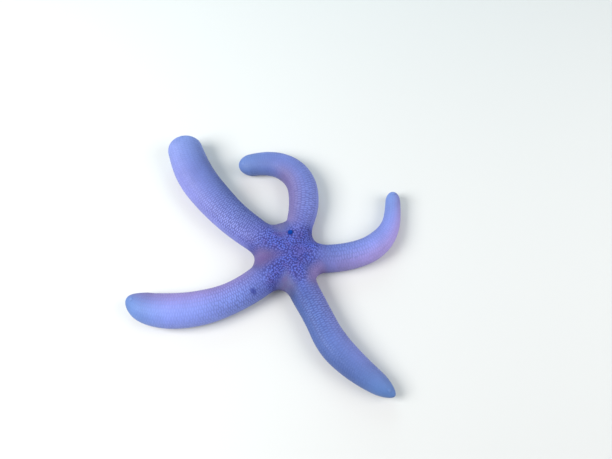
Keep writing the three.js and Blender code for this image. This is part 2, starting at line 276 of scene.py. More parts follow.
# %% [markdown]
# ## Markings
#
# Where the blue is deeper, pinker or darker belongs to places on the body, not to one object. If the
# skin and the plates on it each had their own pattern, the colours would part at every plate's edge. So
# the markings are worked out once, from a point's place along and round its arm. They are kept on the
# skin and on all that grows on it, as attributes that the materials read.
# Painted light and shade is kept the same way: whole arms and their sides are darkened or lightened.

# %% What the markings follow
LIP_COLUMN = FLANK_STEPS + UNDER_STEPS + SOLE_STEPS
HEEL_TURN, ROOF_TURN = -0.6, -1.5  # the turn where the sole begins and on the furrow's roof
TURN = np.concatenate([
    np.linspace(1, 0, FLANK_STEPS + 1),
    np.linspace(0, HEEL_TURN, UNDER_STEPS + 1)[1:],
    np.linspace(HEEL_TURN, -1, SOLE_STEPS + 1)[1:],
    np.linspace(-1, ROOF_TURN, FURROW_STEPS + 1)[1:],
])  # 1 on the ridge, 0 where the arm is widest, -1 at the furrow's lip

# How far the plates stand out: 1 on the disc, and here beside the disc and beyond the arm's middle. Then
# how high the skin is smooth on the left and right flank: 0 where the arm is widest and 1 on the ridge.
RELIEF = {
    "arm_right": (0.45, 0.15, 0.45, 0.62),
    "arm_top": (0.52, 0.2, 0.62, 0.35),
    "arm_upper_left": (0.62, 0.2, 0.3, 0.1),
    "arm_lower_left": (0.52, 0.18, 0.2, 0.6),
    "arm_lower_right": (0.56, 0.15, 0.25, 0.55),
}
RELIEF_LEAST = 0.2
# Painted light and shade on each arm, as a factor on its blue, below 1 deeper and darker and above 1
# lighter: on an arm's left side near the disc and beyond the arm's middle, the same on its right side,
# and at the tip. Left and right are as seen looking outwards. It stands for light falling unevenly.
SHADING_PAINT = {
    "arm_right": (0.68, 0.84, 0.92, 1.33, 0.85),
    "arm_top": (0.67, 0.65, 1.03, 0.88, 0.74),
    "arm_upper_left": (0.97, 0.98, 0.63, 0.56, 0.93),
    "arm_lower_left": (0.95, 1.1, 0.75, 0.92, 0.66),
    "arm_lower_right": (0.9, 0.84, 0.47, 0.52, 0.68),
}
# Pink on an arm: everywhere, and more on one side between two shares of its length.
BLUSH = {
    "arm_right": dict(base=0.2, side=-1, start=0.2, end=1.0, extra=0.46),
    "arm_top": dict(base=0.2, side=1, start=0.1, end=0.7, extra=0.78),
    "arm_upper_left": dict(base=0.26, side=1, start=0.35, end=1.1, extra=0.08),
    "arm_lower_left": dict(base=0.06, side=-1, start=0.14, end=1.0, extra=0.84),
    "arm_lower_right": dict(base=0.0, side=1, start=0.1, end=0.95, extra=0.32),
}
# The smooth greyish skin between two arms, after the arm that it follows counter-clockwise: how strong it
# is, how many degrees it lies off the middle between the arms, how far it runs in and its half width in
# mm, how violet it is inside and how pale at the disc's edge.
NOTCH_TINT = {
    "arm_right": dict(strength=0.35, aside=0, length=9, half_width=7, violet=0, pale=0),
    "arm_top": dict(strength=1, aside=-4, length=20, half_width=13, violet=0.1, pale=0.1),
    "arm_upper_left": dict(strength=1, aside=7, length=28, half_width=12, violet=0.9, pale=0.15),
    "arm_lower_left": dict(strength=1, aside=8, length=16, half_width=11, violet=0.15, pale=0),
    "arm_lower_right": dict(strength=0.75, aside=0, length=15, half_width=13, violet=0, pale=1),
}
VENT = np.array([8.2, 0.6])  # the vent beside the middle of the disc, from its middle in mm
VENT_SMOOTH, VENT_VIOLET, VENT_VIOLET_REACH = 1.9, 0.42, 9.0  # bare radius; violet round it and its reach
# Deep blue spots on the upper side: place from the disc's middle, radius, both in mm, and strength.
STAINS = [
    ((12.5, -2.2), 2.6, 1.0), ((4.9, -4.7), 2.1, 0.9), ((-22.5, -26.9), 2.9, 0.9), ((8.2, 0.6), 0.45, 0.9),
]
print("columns in a cross line:", len(TURN), "lip at column", LIP_COLUMN)

# %% Patches and spots
# Each pair is where a smooth step begins and ends. In a notch patch they are shares of its reach.
NOTCH_EDGE, VIOLET_INWARD, PALE_INWARD = (0.1, 1.1), (-0.3, 0.3), (0.1, 0.6)
WEDGE_REACH, WEDGE_LEAST = 1.15, 0.3  # a patch narrows inwards from its reach, and stays this wide
STAIN_EDGE = (0.3, 1)  # of a spot's radius


def notch_tint(plan_points):
    """How far each point lies in the smooth skin between two arms, and how violet and pale it is there."""
    tint, violet, pale = np.zeros((3, len(plan_points)))
    for i, name in enumerate(NAMES):
        following, patch = NAMES[(i + 1) % len(NAMES)], NOTCH_TINT[name]
        start, end = ARMS[name]["heading"], ARMS[following]["heading"]
        heading = math.radians(start + (end - start) % 360 / 2 + patch["aside"])
        inward = (ARMS[name]["notch"] - plan_points @ direction(heading)) / patch["length"]
        sideways = plan_points @ direction(heading + math.pi / 2) / patch["half_width"]
        wedge = np.clip(WEDGE_REACH - inward, WEDGE_LEAST, 1)
        here = patch["strength"] * (1 - smooth(np.hypot(inward, sideways / wedge), *NOTCH_EDGE))
        violet_here = np.minimum(here * patch["violet"] * smooth(inward, *VIOLET_INWARD), 1)
        pale_here = here * patch["pale"] * (1 - smooth(inward, *PALE_INWARD))
        tint, violet, pale = map(np.maximum, (tint, violet, pale), (here, violet_here, pale_here))
    return tint, violet, pale


def stain_at(plan_points):
    """How far each point lies in a deep blue spot."""
    stain = np.zeros(len(plan_points))
    for place, radius, strength in STAINS:
        apart = np.linalg.norm(plan_points - place, axis=1)
        stain = np.maximum(stain, strength * (1 - smooth(apart / radius, *STAIN_EDGE)))
    return stain


print("strength in the middle of the first spot:", stain_at(np.array([STAINS[0][0]])))

# %% How far the plates stand out
# Again where a smooth step begins and ends: first shares of an arm's length, then turns.
OFF_DISC, TO_TIP, FLANK_FROM = (0.08, 0.24), (0.35, 0.8), (0.09, 0.21)
FLANK_EDGE, SOLE_EDGE = (-0.3, 0.15), (0, 0.4)  # round the turn where the flank rises, and below the widest
SOLE_RELIEF, FLANK_SMOOTHED = 0.6, 0.75


def relief_at(name, side, out, turn):
    """How far the plates stand out at a share of an arm's length and a place round the arm."""
    near, far, left, right = RELIEF[name]
    relief = 1 - (1 - near) * smooth(out, *OFF_DISC) - (near - far) * smooth(out, *TO_TIP)
    flank = left if side > 0 else right
    on_flank = smooth(turn, *(flank + edge for edge in FLANK_EDGE))
    risen = np.maximum(on_flank, SOLE_RELIEF * smooth(-turn, *SOLE_EDGE))
    return relief * (1 - FLANK_SMOOTHED * (1 - risen) * smooth(out, *FLANK_FROM))


print("relief on arm_top's ridge, root to tip:", relief_at("arm_top", 1, np.linspace(0, 1, 5), np.ones(5)))

# %% The markings of a point
UPPER_SIDE = (-0.1, 0.3)  # turns between which the upper side's own marks fade in
BLUSH_FROM, BLUSH_SIDE, BLUSH_RISE, BLUSH_FALL = (0.1, 0.25), (-0.25, 0.6), 0.15, 0.1
# Steps of the painted light and shade: along an arm, from near to far, across the ridge and to the tip.
SHADING_PAINT_FROM, SHADING_PAINT_CHANGES, SHADING_PAINT_SIDES, TIP_SHADING_PAINT = (0.08, 0.28), (0.25, 0.6), (-0.9, 0.9), (0.7, 1)
VENT_EDGE, BARE_SMOOTHED = 0.7, 0.85  # of the bare radius, and how much of the relief goes on bare skin


def markings(name, side, s, turn, places):
    """The attributes of points on one side of an arm."""
    out = s / ARMS[name]["length"]
    plan_points = places[:, :2] - CENTRE
    upper = smooth(turn, *UPPER_SIDE)
    from_vent = np.linalg.norm(plan_points - VENT, axis=1)
    off_ridge = side * (1 - turn)  # to the left of the ridge it is above 0
    blush = BLUSH[name]
    stretch = smooth(out, blush["start"], blush["start"] + BLUSH_RISE)
    stretch = stretch * (1 - smooth(out, blush["end"] - BLUSH_FALL, blush["end"] + BLUSH_FALL))
    pink = blush["extra"] * smooth(off_ridge * blush["side"], *BLUSH_SIDE) * stretch
    tint, violet, pale = notch_tint(plan_points)
    violet = np.maximum(violet, VENT_VIOLET * upper * (1 - smooth(from_vent, 0, VENT_VIOLET_REACH)))
    bare = np.maximum(tint, upper * (1 - smooth(from_vent, VENT_SMOOTH * VENT_EDGE, VENT_SMOOTH)))
    # Painted light and shade: an arm's sides are darkened or lightened as if lit unevenly.
    left_near, left_far, right_near, right_far, tip = SHADING_PAINT[name]
    farther = smooth(out, *SHADING_PAINT_CHANGES)
    left, right = blend(left_near, left_far, farther), blend(right_near, right_far, farther)
    painted_shading = blend(1, blend(right, left, smooth(off_ridge, *SHADING_PAINT_SIDES)), smooth(out, *SHADING_PAINT_FROM))
    return dict(
        out=out,
        turn=turn,
        blush=np.maximum(blush["base"] * smooth(out, *BLUSH_FROM) + pink, pale),
        violet=violet,
        notch=tint,
        relief=relief_at(name, side, out, turn) * (1 - BARE_SMOOTHED * bare),
        painted_shading=blend(painted_shading, tip, smooth(out, *TIP_SHADING_PAINT)),
        stain=stain_at(plan_points) * upper,
    )


def marked(net, seeds):
    """Places on a net together with their markings."""
    return dict(seeds, **markings(net["name"], net["side"], seeds["s"], seeds["turn"], seeds["place"]))


MARKS = ("out", "turn", "blush", "violet", "notch", "relief", "painted_shading", "stain")
print("kept on the skin and on all that grows on it:", *MARKS)

# %% [markdown]
# ## A map of the skin
#
# For colours to be baked to pictures for other programs, the surface needs a flat map.
# Smart Project cuts such a map by face angles, and a plate on the skin would not know its place on it.
# The net gives a better map for nothing: each half of an arm unrolls to one strip, distances along and
# round the arm become the two directions, and the ten strips lie in two columns of five.

# %% Unrolling the strips
STRIP_ROWS, STRIP_COLUMNS = len(NAMES), len(SIDES)
STRIP_MARGIN = 0.004  # of a strip, left free on each side
LEAST_GIRTH = 1e-6  # so that the tip, where the girth is nothing, divides by something


def unroll(net):
    """Adds to a net how far its lines lie along the strip, and how far its points lie round it."""
    steps_out = np.linalg.norm(np.diff(net["points"], axis=0), axis=2).mean(1)
    along = np.concatenate([[0], np.cumsum(steps_out)])
    steps_round = np.linalg.norm(np.diff(net["points"], axis=1), axis=2)
    girth = np.concatenate([np.zeros((len(along), 1)), np.cumsum(steps_round, axis=1)], 1)
    around = girth / np.maximum(girth[:, -1:], LEAST_GIRTH)
    around[-1] = around[-2]
    return dict(net, along=along / along[-1], around=around, girth=girth)


def on_map(net, along, around):
    """The place on the map of a point at these shares along and round a net."""
    row, column = NAMES.index(net["name"]), SIDES.index(net["side"])
    u = (column + STRIP_MARGIN + (1 - 2 * STRIP_MARGIN) * along) / STRIP_COLUMNS
    v = (row + STRIP_MARGIN + (1 - 2 * STRIP_MARGIN) * around) / STRIP_ROWS
    return np.stack(np.broadcast_arrays(u, v), -1)


nets = [unroll(net) for net in nets]
print("longest way round half a section in mm:", round(max(net["girth"][:, -1].max() for net in nets), 1))

# %% [markdown]
# ## The skin
#
# The plates of a sea star are bedded in one skin without seams. A union and a remesh of the solids would
# give one skin too, but it would blur the furrows and forget the net. Here the ten nets are joined along
# the lines they share. The skin then sinks by the depth of the plates that will stand on it.

# %% Joining the nets into one mesh
COAT_DEPTH, COAT_DEPTH_LEAST = 0.24, 0.08  # from the solids' surface in to the skin, by the relief
WELD = 1e-6  # in metres: points nearer than this are one


def coat_depth(relief):
    return blend(COAT_DEPTH_LEAST, COAT_DEPTH, relief)


def keep_attribute(mesh, name, values, kind="FLOAT", domain="POINT"):
    """Stores values on a mesh under a name."""
    field = "value" if kind == "FLOAT" else "vector"
    made = mesh.attributes.new(name, kind, domain)
    made.data.foreach_set(field, np.ascontiguousarray(values, dtype=np.float32).ravel())


def new_mesh(name, points, faces):
    made = bpy.data.meshes.new(name)
    made.from_pydata(points.tolist(), [], faces)
    return made


def put_in_scene(name, data):
    made = bpy.data.objects.new(name, data)
    bpy.context.scene.collection.objects.link(made)
    return made


def skin_mesh():
    """The ten nets side by side, with their map and their markings."""
    points, faces, map_places, kept = [], [], [], []
    first = 0
    for net in nets:
        lines, columns = net["points"].shape[:2]
        grid = first + np.arange(lines * columns).reshape(lines, columns)
        corners = np.stack([grid[:-1, :-1], grid[1:, :-1], grid[1:, 1:], grid[:-1, 1:]], -1)
        if net["side"] < 0:
            corners = corners[..., ::-1]
        faces.append(corners.reshape(-1, 4))
        points.append(net["points"].reshape(-1, 3))
        map_places.append(on_map(net, net["along"][:, None], net["around"]).reshape(-1, 2))
        every_s, every_turn = np.repeat(net["s"], columns), np.tile(TURN, lines)
        kept.append(markings(net["name"], net["side"], every_s, every_turn, points[-1]))
        first += lines * columns
    points, faces, map_places = map(np.concatenate, (points, faces, map_places))
    mesh = new_mesh("star_skin", points * MM, faces.tolist())
    keep_attribute(mesh, "OFBake", map_places[faces.ravel()], "FLOAT2", "CORNER")
    for key in kept[0]:
        keep_attribute(mesh, key, np.concatenate([part[key] for part in kept]))
    return mesh


def welded(mesh):
    """Joins points that lie in one place and smooths the shading."""
    work = bmesh.new()
    work.from_mesh(mesh)
    bmesh.ops.remove_doubles(work, verts=work.verts, dist=WELD)
    bmesh.ops.dissolve_degenerate(work, edges=work.edges, dist=WELD)
    work.to_mesh(mesh)
    work.free()
    mesh.shade_smooth()
    return mesh


def read_all(items, field, width=1, kind=np.float32):
    """One field of all the items of a mesh, as rows where it has several numbers."""
    values = np.zeros(len(items) * width, kind)
    items.foreach_get(field, values)
    return values if width == 1 else values.reshape(-1, width)


def moved_to(mesh, places):
    mesh.vertices.foreach_set("co", places.ravel())
    mesh.update()


def sunk(mesh, depths):
    """Moves a mesh's points inwards along their normals."""
    normals = read_all(mesh.vertex_normals, "vector", 3)
    moved_to(mesh, read_all(mesh.vertices, "co", 3) - normals * depths[:, None])


star_skin = put_in_scene("star_skin", welded(skin_mesh()))
skin_relief = read_all(star_skin.data.attributes["relief"].data, "value")
sunk(star_skin.data, coat_depth(skin_relief) * MM)
faces_at_edges = np.bincount(read_all(star_skin.data.loops, "edge_index", kind=np.int32))
print("skin faces:", len(star_skin.data.polygons), "open edges:", (faces_at_edges != 2).sum())

# %% [markdown]
# ## Where the plates stand
#
# Along an arm the plates lie in rows, staggered like bricks and wider across the arm than along it. They
# shrink with the arm towards its tip. On the disc the rows dissolve into a crowd, with small rings of
# plates round the vent near its middle. An even scatter could fill both, but it would lose the rows. So
# brick rows are counted out along the net, loosely near the disc. Then places tried in a fixed random
# order fill what is left, and a place is kept only where it stands clear of those kept before it.

# %% Reading the net at any place
CELL_ALONG, CELL_ACROSS = 1.62, 2.6  # room for one plate on the upper side, in mm
SOLE_CELLS = 1.2  # how much larger a plate is on the sole
DISC_CELLS, DISC_WIDTH = 0.74, 0.86  # how much smaller near the middle of the disc, and how much narrower
SMALLEST_CELL, LARGEST_CELL = 0.36, 1.15  # of a full one, near the tips and where the arm is stoutest
LEAST_LENGTH, LEAST_STEP = 1e-9, 1e-3  # so that a step of no length divides by something


def unit(vectors):
    return vectors / np.maximum(np.linalg.norm(vectors, axis=-1, keepdims=True), LEAST_LENGTH)


def frames(net):
    """The outward direction, the one round the arm, and the step along it at each point of a net."""
    along = np.gradient(net["points"], axis=0)
    around = np.gradient(net["points"], axis=1)
    return unit(np.cross(along, around) * net["side"]), unit(around), np.linalg.norm(along, axis=2)


def read_values(values, line, column):
    """Values of a net's points, blended at fractional lines and columns."""
    i = np.clip(line.astype(int), 0, values.shape[0] - 2)
    k = np.clip(column.astype(int), 0, values.shape[1] - 2)
    p, q = line - i, column - k
    if values.ndim == 3:
        p, q = p[:, None], q[:, None]
    near = values[i, k] * (1 - q) + values[i, k + 1] * q
    far = values[i + 1, k] * (1 - q) + values[i + 1, k + 1] * q
    return near * (1 - p) + far * p


def read_net(net, line, column):
    """Places, outward and round-going directions and map places at fractional lines and columns."""
    facing, around, _ = net["frames"]
    steps = np.arange(len(net["s"]))
    along = np.interp(line, steps, net["along"])
    return dict(
        place=read_values(net["points"], line, column),
        facing=unit(read_values(facing, line, column)),
        across=unit(read_values(around, line, column)),
        map_place=on_map(net, along, read_values(net["around"], line, column)),
        s=np.interp(line, steps, net["s"]),
        turn=np.interp(column, np.arange(len(TURN)), TURN),
    )


for net in nets:
    net["frames"] = frames(net)
    net["line_step"] = np.maximum(net["frames"][2].mean(1, keepdims=True), LEAST_STEP)
print("facing of the disc's middle:", nets[0]["frames"][0][0, 1].round(2))

# %% Brick rows along the arms
rng = np.random.default_rng(7)
ROWS_FROM, ROWS_END = 9, 0.04  # in mm along the axis from the middle, and short of the arm's end
LOOSE_NEAR, LOOSE_FAR = 0.13, 0.08  # how far a plate may be off its place in the rows, in cells
LOOSE_UNTIL = 60  # along the axis, in mm: beyond it the rows are as regular as they get
ROW_START = 0.01  # in cells, from where the rows begin to the first place of every second row
SOLE_TURN = -0.3  # the turn below which a plate counts as one of the sole
CROWDING = (0.65, 1.35)  # least and most of a cell's length, where the lines lie close or wide
CELLS_GROW, CELLS_WIDEN = (14, 42), (14, 36)  # along the axis, in mm: from the disc's cells to the arm's


def brick_rows(net):
    """Fractional lines, columns and sizes of the plates on one side of an arm."""
    arm = ARMS[net["name"]]
    girth = net["girth"][:, LIP_COLUMN]
    full = np.median(girth[DISC_LINES:])
    rows = round(full / CELL_ACROSS)
    scale = np.clip(girth / full, SMALLEST_CELL, LARGEST_CELL)
    in_rows = (net["s"] > ROWS_FROM) & (net["s"] < arm["length"] - ROWS_END)
    spacing = np.linalg.norm(np.diff(net["points"], axis=0), axis=2).mean(1) / (CELL_ALONG * scale[1:])
    bricks = np.cumsum(np.concatenate([[0], spacing]) * in_rows)
    steps = np.arange(len(girth))
    lines, columns = [], []
    for row in range(0 if net["side"] > 0 else 1, rows):
        stations = np.arange(0.5 * (row % 2) + ROW_START, bricks[-1], 1)
        loose = rng.normal(0, 1, (2, len(stations)))
        line = np.interp(stations, bricks[in_rows], steps[in_rows])
        slack = blend(LOOSE_NEAR, LOOSE_FAR, smooth(np.interp(line, steps, net["s"]), ROOT, LOOSE_UNTIL))
        line = np.interp(stations + loose[0] * slack, bricks[in_rows], steps[in_rows])
        share = np.clip((row + loose[1] * slack * (row > 0)) / rows, 0, 1)
        girth_there = net["girth"][np.round(line).astype(int), : LIP_COLUMN + 1]
        columns += [np.interp(f * g[-1], g, np.arange(LIP_COLUMN + 1)) for f, g in zip(share, girth_there)]
        lines += list(line)
    return np.array(lines), np.array(columns), scale


def seeds_at(net, lines, columns, scale):
    """Seeds with their cells and markings at fractional lines and columns of a net."""
    seeds = read_net(net, lines, columns)
    size = np.interp(lines, np.arange(len(scale)), scale)
    crowding = np.clip(read_values(net["frames"][2] / net["line_step"], lines, columns), *CROWDING)
    size = size * blend(DISC_CELLS, 1, smooth(seeds["s"], *CELLS_GROW))
    size = size * blend(1, SOLE_CELLS, seeds["turn"] < SOLE_TURN)
    width = blend(DISC_WIDTH, 1, smooth(seeds["s"], *CELLS_WIDEN))
    seeds["cell"] = np.stack([CELL_ACROSS * size * width, CELL_ALONG * size * crowding], -1)
    return marked(net, seeds)


def joined(parts):
    return {key: np.concatenate([part[key] for part in parts]) for key in parts[0]}


row_seeds = joined([seeds_at(net, *brick_rows(net)) for net in nets])
print("places in rows:", len(row_seeds["s"]))

# %% Random places on the disc, and rings round the vent
VENT_RINGS = {2.35: 9, 3.9: 14}  # plates in a ring of this radius round the vent
RING_CELL = 0.9  # of a full cell's length
TRIES = 26000
CROWD_END = 55  # along the axis, in mm: beyond it the rows leave no room
UPPER_TURN, FAR_AWAY = 0.2, 99  # places below this turn count as this far from the vent, in mm
FREE_TURN, FREE_WITHIN = 0.75, (9, 26)  # radians for a wave of height 1, and where on the disc it fades
WAVE_X, WAVE_Y = (2.6, 1.3, 3.7), (3.1, 1.2, 3.3)  # length in mm, sway in radians, the sway's length in mm


def scattered(net, count):
    """Random places on the disc's side of a net, as many to each patch as its area asks."""
    points = net["points"][net["s"] < CROWD_END, : LIP_COLUMN + 1]
    corner = points[:-1, :-1]
    patch = np.linalg.norm(np.cross(points[1:, :-1] - corner, points[:-1, 1:] - corner), axis=2)
    share = patch.ravel() / patch.sum()
    chosen = rng.choice(len(share), count, p=share)
    line = chosen // patch.shape[1] + rng.random(count)
    column = chosen % patch.shape[1] + rng.random(count)
    return seeds_at(net, line, column, np.ones(len(net["s"])))


def picked(seeds, which):
    return {key: values[which] for key, values in seeds.items()}


def from_vent(seeds):
    """Distance from the vent for seeds on the upper side, and far away for the others."""
    apart = np.linalg.norm(seeds["place"][:, :2] - CENTRE - VENT, axis=1)
    return np.where(seeds["turn"] > UPPER_TURN, apart, FAR_AWAY)


def vent_rings(seeds):
    """The seeds nearest to the rings' places, each lying along its ring."""
    rings = []
    below = FAR_AWAY * (seeds["turn"] < UPPER_TURN)[:, None]
    for radius, count in VENT_RINGS.items():
        spokes = direction(np.arange(count) / count * math.tau)
        wanted = CENTRE + VENT + radius * spokes
        apart = np.linalg.norm(seeds["place"][:, None, :2] - wanted, axis=2) + below
        ring = picked(seeds, apart.argmin(0))
        ring["across"] = unit(np.column_stack([-spokes[:, 1], spokes[:, 0], np.zeros(count)]))
        ring["cell"] = np.tile([radius * math.tau / count, CELL_ALONG * RING_CELL], (count, 1))
        rings.append(ring)
    return joined(rings)


def winding_wave(ahead, aside, length, sway, sway_length, start):
    """A slow wave along one direction whose crests sway along the other."""
    return np.sin(ahead / length + sway * np.sin(aside / sway_length) + start)


def turned_on_disc(seeds):
    """Turns the plates on the disc by slow waves, so that neighbours lie nearly the same way."""
    x, y = (seeds["place"][:, :2] - CENTRE).T
    waves = winding_wave(x, y, *WAVE_X, start=0) + winding_wave(y, x, *WAVE_Y, start=2)
    free = (FREE_TURN * waves * (1 - smooth(seeds["s"], *FREE_WITHIN)))[:, None]
    sideways = np.cross(seeds["facing"], seeds["across"])
    return dict(seeds, across=seeds["across"] * np.cos(free) + sideways * np.sin(free))


tried = turned_on_disc(joined([scattered(net, TRIES // len(nets)) for net in nets]))
row_seeds = turned_on_disc(row_seeds)
ring_seeds = vent_rings(tried)
print("round the vent:", len(ring_seeds["s"]), "tried on the disc:", len(tried["s"]))

# %% Keeping the places that stand clear of each other
CLEARANCE, ROW_CLEARANCE = 0.86, 0.68  # least distance between plates, in cells
SMALL_PLATES = 0.6  # size of those that fill the last gaps
TIP_FROM = 0.965  # of an arm's length: beyond it the rows run together
VENT_CLEAR, SIEVE_CLEAR = 5.0, 2.4  # radius in mm kept free for the rings and for the sieve plate
EDGE_TURN = -0.94  # the turn of the furrow's edge, which has plates of its own
NEARBY = 4.5  # in mm: plates further apart never touch
CROWD_MARGIN = 5  # in mm: rows this far beyond the crowd are still tested against it
sieve_place = np.array(sum(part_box("madreporite"), Vector())) / 2 / MM


def kept_clear(candidates, clearance, already):
    """The candidates, taken in turn, that stand clear of what is there already and of each other."""
    places = np.concatenate([already["place"], np.zeros((len(candidates["s"]), 3))])
    cells = np.concatenate([already["cell"], np.zeros((len(candidates["s"]), 2))])
    filled = len(already["s"])
    kept = []
    sideways = np.cross(candidates["facing"], candidates["across"])
    for i, place in enumerate(candidates["place"]):
        apart = places[:filled] - place
        near = np.abs(apart).max(1) < NEARBY
        apart, cell = apart[near], (cells[:filled][near] + candidates["cell"][i]) / 2
        reach = np.hypot(apart @ candidates["across"][i] / cell[:, 0], apart @ sideways[i] / cell[:, 1])
        if not np.any(reach < clearance):
            places[filled], cells[filled] = place, candidates["cell"][i]
            filled += 1
            kept.append(i)
    return joined([already, picked(candidates, np.array(kept, int))])


def with_room(seeds):
    """Seeds that are off the vent's rings and the sieve plate, and not on the furrow's edge."""
    off_sieve = np.linalg.norm(seeds["place"] - sieve_place, axis=1) > SIEVE_CLEAR
    return picked(seeds, (from_vent(seeds) > VENT_CLEAR) & off_sieve & (seeds["turn"] > EDGE_TURN))


row_seeds, tried = with_room(row_seeds), with_room(tried)
crowded = (row_seeds["s"] < CROWD_END + CROWD_MARGIN) | (row_seeds["out"] > TIP_FROM)
settled = kept_clear(picked(row_seeds, crowded), ROW_CLEARANCE, ring_seeds)
settled = kept_clear(tried, CLEARANCE, settled)
whole = len(settled["s"])
settled = kept_clear(dict(tried, cell=tried["cell"] * SMALL_PLATES), CLEARANCE, settled)
plate_seeds = joined([settled, picked(row_seeds, ~crowded)])
print("near the disc:", whole, "with small ones:", len(settled["s"]), "in all:", len(plate_seeds["s"]))

# %% [markdown]
# ## Standing things on the skin with Geometry Nodes
#
# Plates, spines, tube feet and eyespots are all small shapes that repeat on the skin. Copying them in a
# loop would work, but one tree of nodes does it faster and with its sizes open to change. It puts a
# shape on every point, turns it to the point's directions, and shakes its size and turn a little from a
# fixed seed. It also gives each shape its own small patch of the skin's map at the root.

# %% Helpers for nodes
def add(tree, kind, inputs=None, **settings):
    """A new node with its settings made, and its inputs linked or set."""
    made = tree.nodes.new(kind)
    for name, value in settings.items():
        setattr(made, name, value)
    for name, value in (inputs or {}).items():
        if isinstance(value, bpy.types.NodeSocket):
            tree.links.new(value, made.inputs[name])
        else:
            made.inputs[name].default_value = value
    return made


def sockets(tree, in_or_out, named_kinds):
    """Adds a group's named inputs or outputs. A kind may come with a value to start from."""
    for name, kind in named_kinds.items():
        kind, *start = kind if isinstance(kind, tuple) else (kind,)
        made = tree.interface.new_socket(name, in_out=in_or_out, socket_type="NodeSocket" + kind)
        if start:
            made.default_value = start[0]


def stored(tree, geometry, name, value, data_type="FLOAT_VECTOR", domain="POINT"):
    return add(
        tree, "GeometryNodeStoreNamedAttribute", {"Geometry": geometry, "Name": name, "Value": value},
        data_type=data_type, domain=domain,
    ).outputs[0]


def named(tree, name, data_type="FLOAT_VECTOR"):
    return add(tree, "GeometryNodeInputNamedAttribute", {"Name": name}, data_type=data_type).outputs[0]


def maths(tree, operation, *values):
    return add(tree, "ShaderNodeMath", dict(enumerate(values)), operation=operation).outputs[0]


def vectors(tree, operation, *values):
    return add(tree, "ShaderNodeVectorMath", dict(enumerate(values)), operation=operation).outputs[0]


def combined(tree, kind, *parts):
    """A colour or a vector from its parts. One part alone serves for all three."""
    parts = parts * 3 if len(parts) == 1 else parts
    return add(tree, "ShaderNodeCombine" + kind, dict(enumerate(parts))).outputs[0]


print("helpers:", *(helper.__name__ for helper in (add, sockets, stored, named, maths, vectors, combined)))

# %% The tree that stands a shape on every point
PATCH = 0.0034  # of the map's width, for one plate


def coat_tree():
    tree = bpy.data.node_groups.new("stand_on_skin", "GeometryNodeTree")
    sockets(tree, "INPUT", {
        "Points": "Geometry", "Shape": "Object",
        "Size jitter": ("Float", 0.1), "Turn jitter": ("Float", 0.1),
        "Patch": ("Float", PATCH), "Seed": ("Int", 1), "Material": "Material",
    })
    sockets(tree, "OUTPUT", {"Geometry": "Geometry"})
    given = add(tree, "NodeGroupInput").outputs

    turned = add(tree, "FunctionNodeAxesToRotation", {
        "Primary Axis": named(tree, "facing"), "Secondary Axis": named(tree, "across"),
    }, primary_axis="Z", secondary_axis="X").outputs[0]
    least_turn = maths(tree, "MULTIPLY", given["Turn jitter"], -1.0)
    turn = add(tree, "FunctionNodeRandomValue", {
        "Min": least_turn, "Max": given["Turn jitter"], "Seed": given["Seed"],
    }, data_type="FLOAT")
    turn = next(socket for socket in turn.outputs if socket.enabled)
    spin = add(tree, "FunctionNodeAxisAngleToRotation", {"Axis": (0, 0, 1), "Angle": turn}).outputs[0]
    rotation = add(tree, "FunctionNodeRotateRotation", {"Rotation": turned, "Rotate By": spin})
    rotation.rotation_space = "LOCAL"

    least, most = (maths(tree, way, 1.0, given["Size jitter"]) for way in ("SUBTRACT", "ADD"))
    least, most = combined(tree, "XYZ", least), combined(tree, "XYZ", most)
    jitter = add(tree, "FunctionNodeRandomValue", {"Min": least, "Max": most}, data_type="FLOAT_VECTOR")
    seed_input = next(socket for socket in jitter.inputs if socket.name == "Seed" and socket.enabled)
    tree.links.new(given["Seed"], seed_input)
    size = vectors(tree, "MULTIPLY", named(tree, "size"), jitter.outputs[0])

    shape = add(tree, "GeometryNodeObjectInfo", {"Object": given["Shape"]}).outputs["Geometry"]
    local = add(tree, "GeometryNodeInputPosition").outputs[0]
    height = add(tree, "ShaderNodeSeparateXYZ", {0: local}).outputs[2]
    marked = stored(tree, stored(tree, shape, "local", local), "crest", height, "FLOAT")
    placed = add(tree, "GeometryNodeInstanceOnPoints", {
        "Points": given["Points"], "Instance": marked,
        "Rotation": rotation.outputs[0], "Scale": size,
    })
    joined_up = add(tree, "GeometryNodeRealizeInstances", {"Geometry": placed.outputs[0]}).outputs[0]

    patch = combined(tree, "XYZ", given["Patch"], given["Patch"])
    on_skin = vectors(tree, "MULTIPLY_ADD", named(tree, "local"), patch, named(tree, "root"))
    mapped = stored(tree, joined_up, "OFBake", on_skin, "FLOAT2", "CORNER")
    finished = add(tree, "GeometryNodeSetMaterial", {"Geometry": mapped, "Material": given["Material"]})
    add(tree, "NodeGroupOutput", {"Geometry": finished.outputs[0]})
    return tree


COAT_TREE = coat_tree()
print("nodes in the tree:", len(COAT_TREE.nodes))

# %% Growing a piece from points
LEAST_HEIGHT, PRESSED_BELOW = 0.02, 0.14  # over the table, in mm: the weight flattens what is lower
USED_ONLY_TO_GROW = ("facing", "across", "size", "root", "local")


def shape_to_repeat(name, points, faces):
    """A small smooth solid for the tree to copy. It isn't in the scene itself."""
    mesh = new_mesh(name, points, faces)
    mesh.shade_smooth()
    return bpy.data.objects.new(name, mesh)


def turned_shape(name, profile, sides):
    """A small closed solid turned about Z from (radius, height) pairs, its lowest point first."""
    profile = np.array(profile, float)
    angles = np.arange(sides) / sides * math.tau
    around = np.column_stack([direction(angles), np.ones(sides)])
    rings = [around * (radius, radius, height) for radius, height in profile]
    faces = [list(range(sides))[::-1], [len(profile) * sides - sides + i for i in range(sides)]]
    for ring in range(len(profile) - 1):
        first = ring * sides
        for i in range(sides):
            following = (i + 1) % sides
            faces.append([first + i, first + following, first + sides + following, first + sides + i])
    return shape_to_repeat(name, np.concatenate(rings), faces)


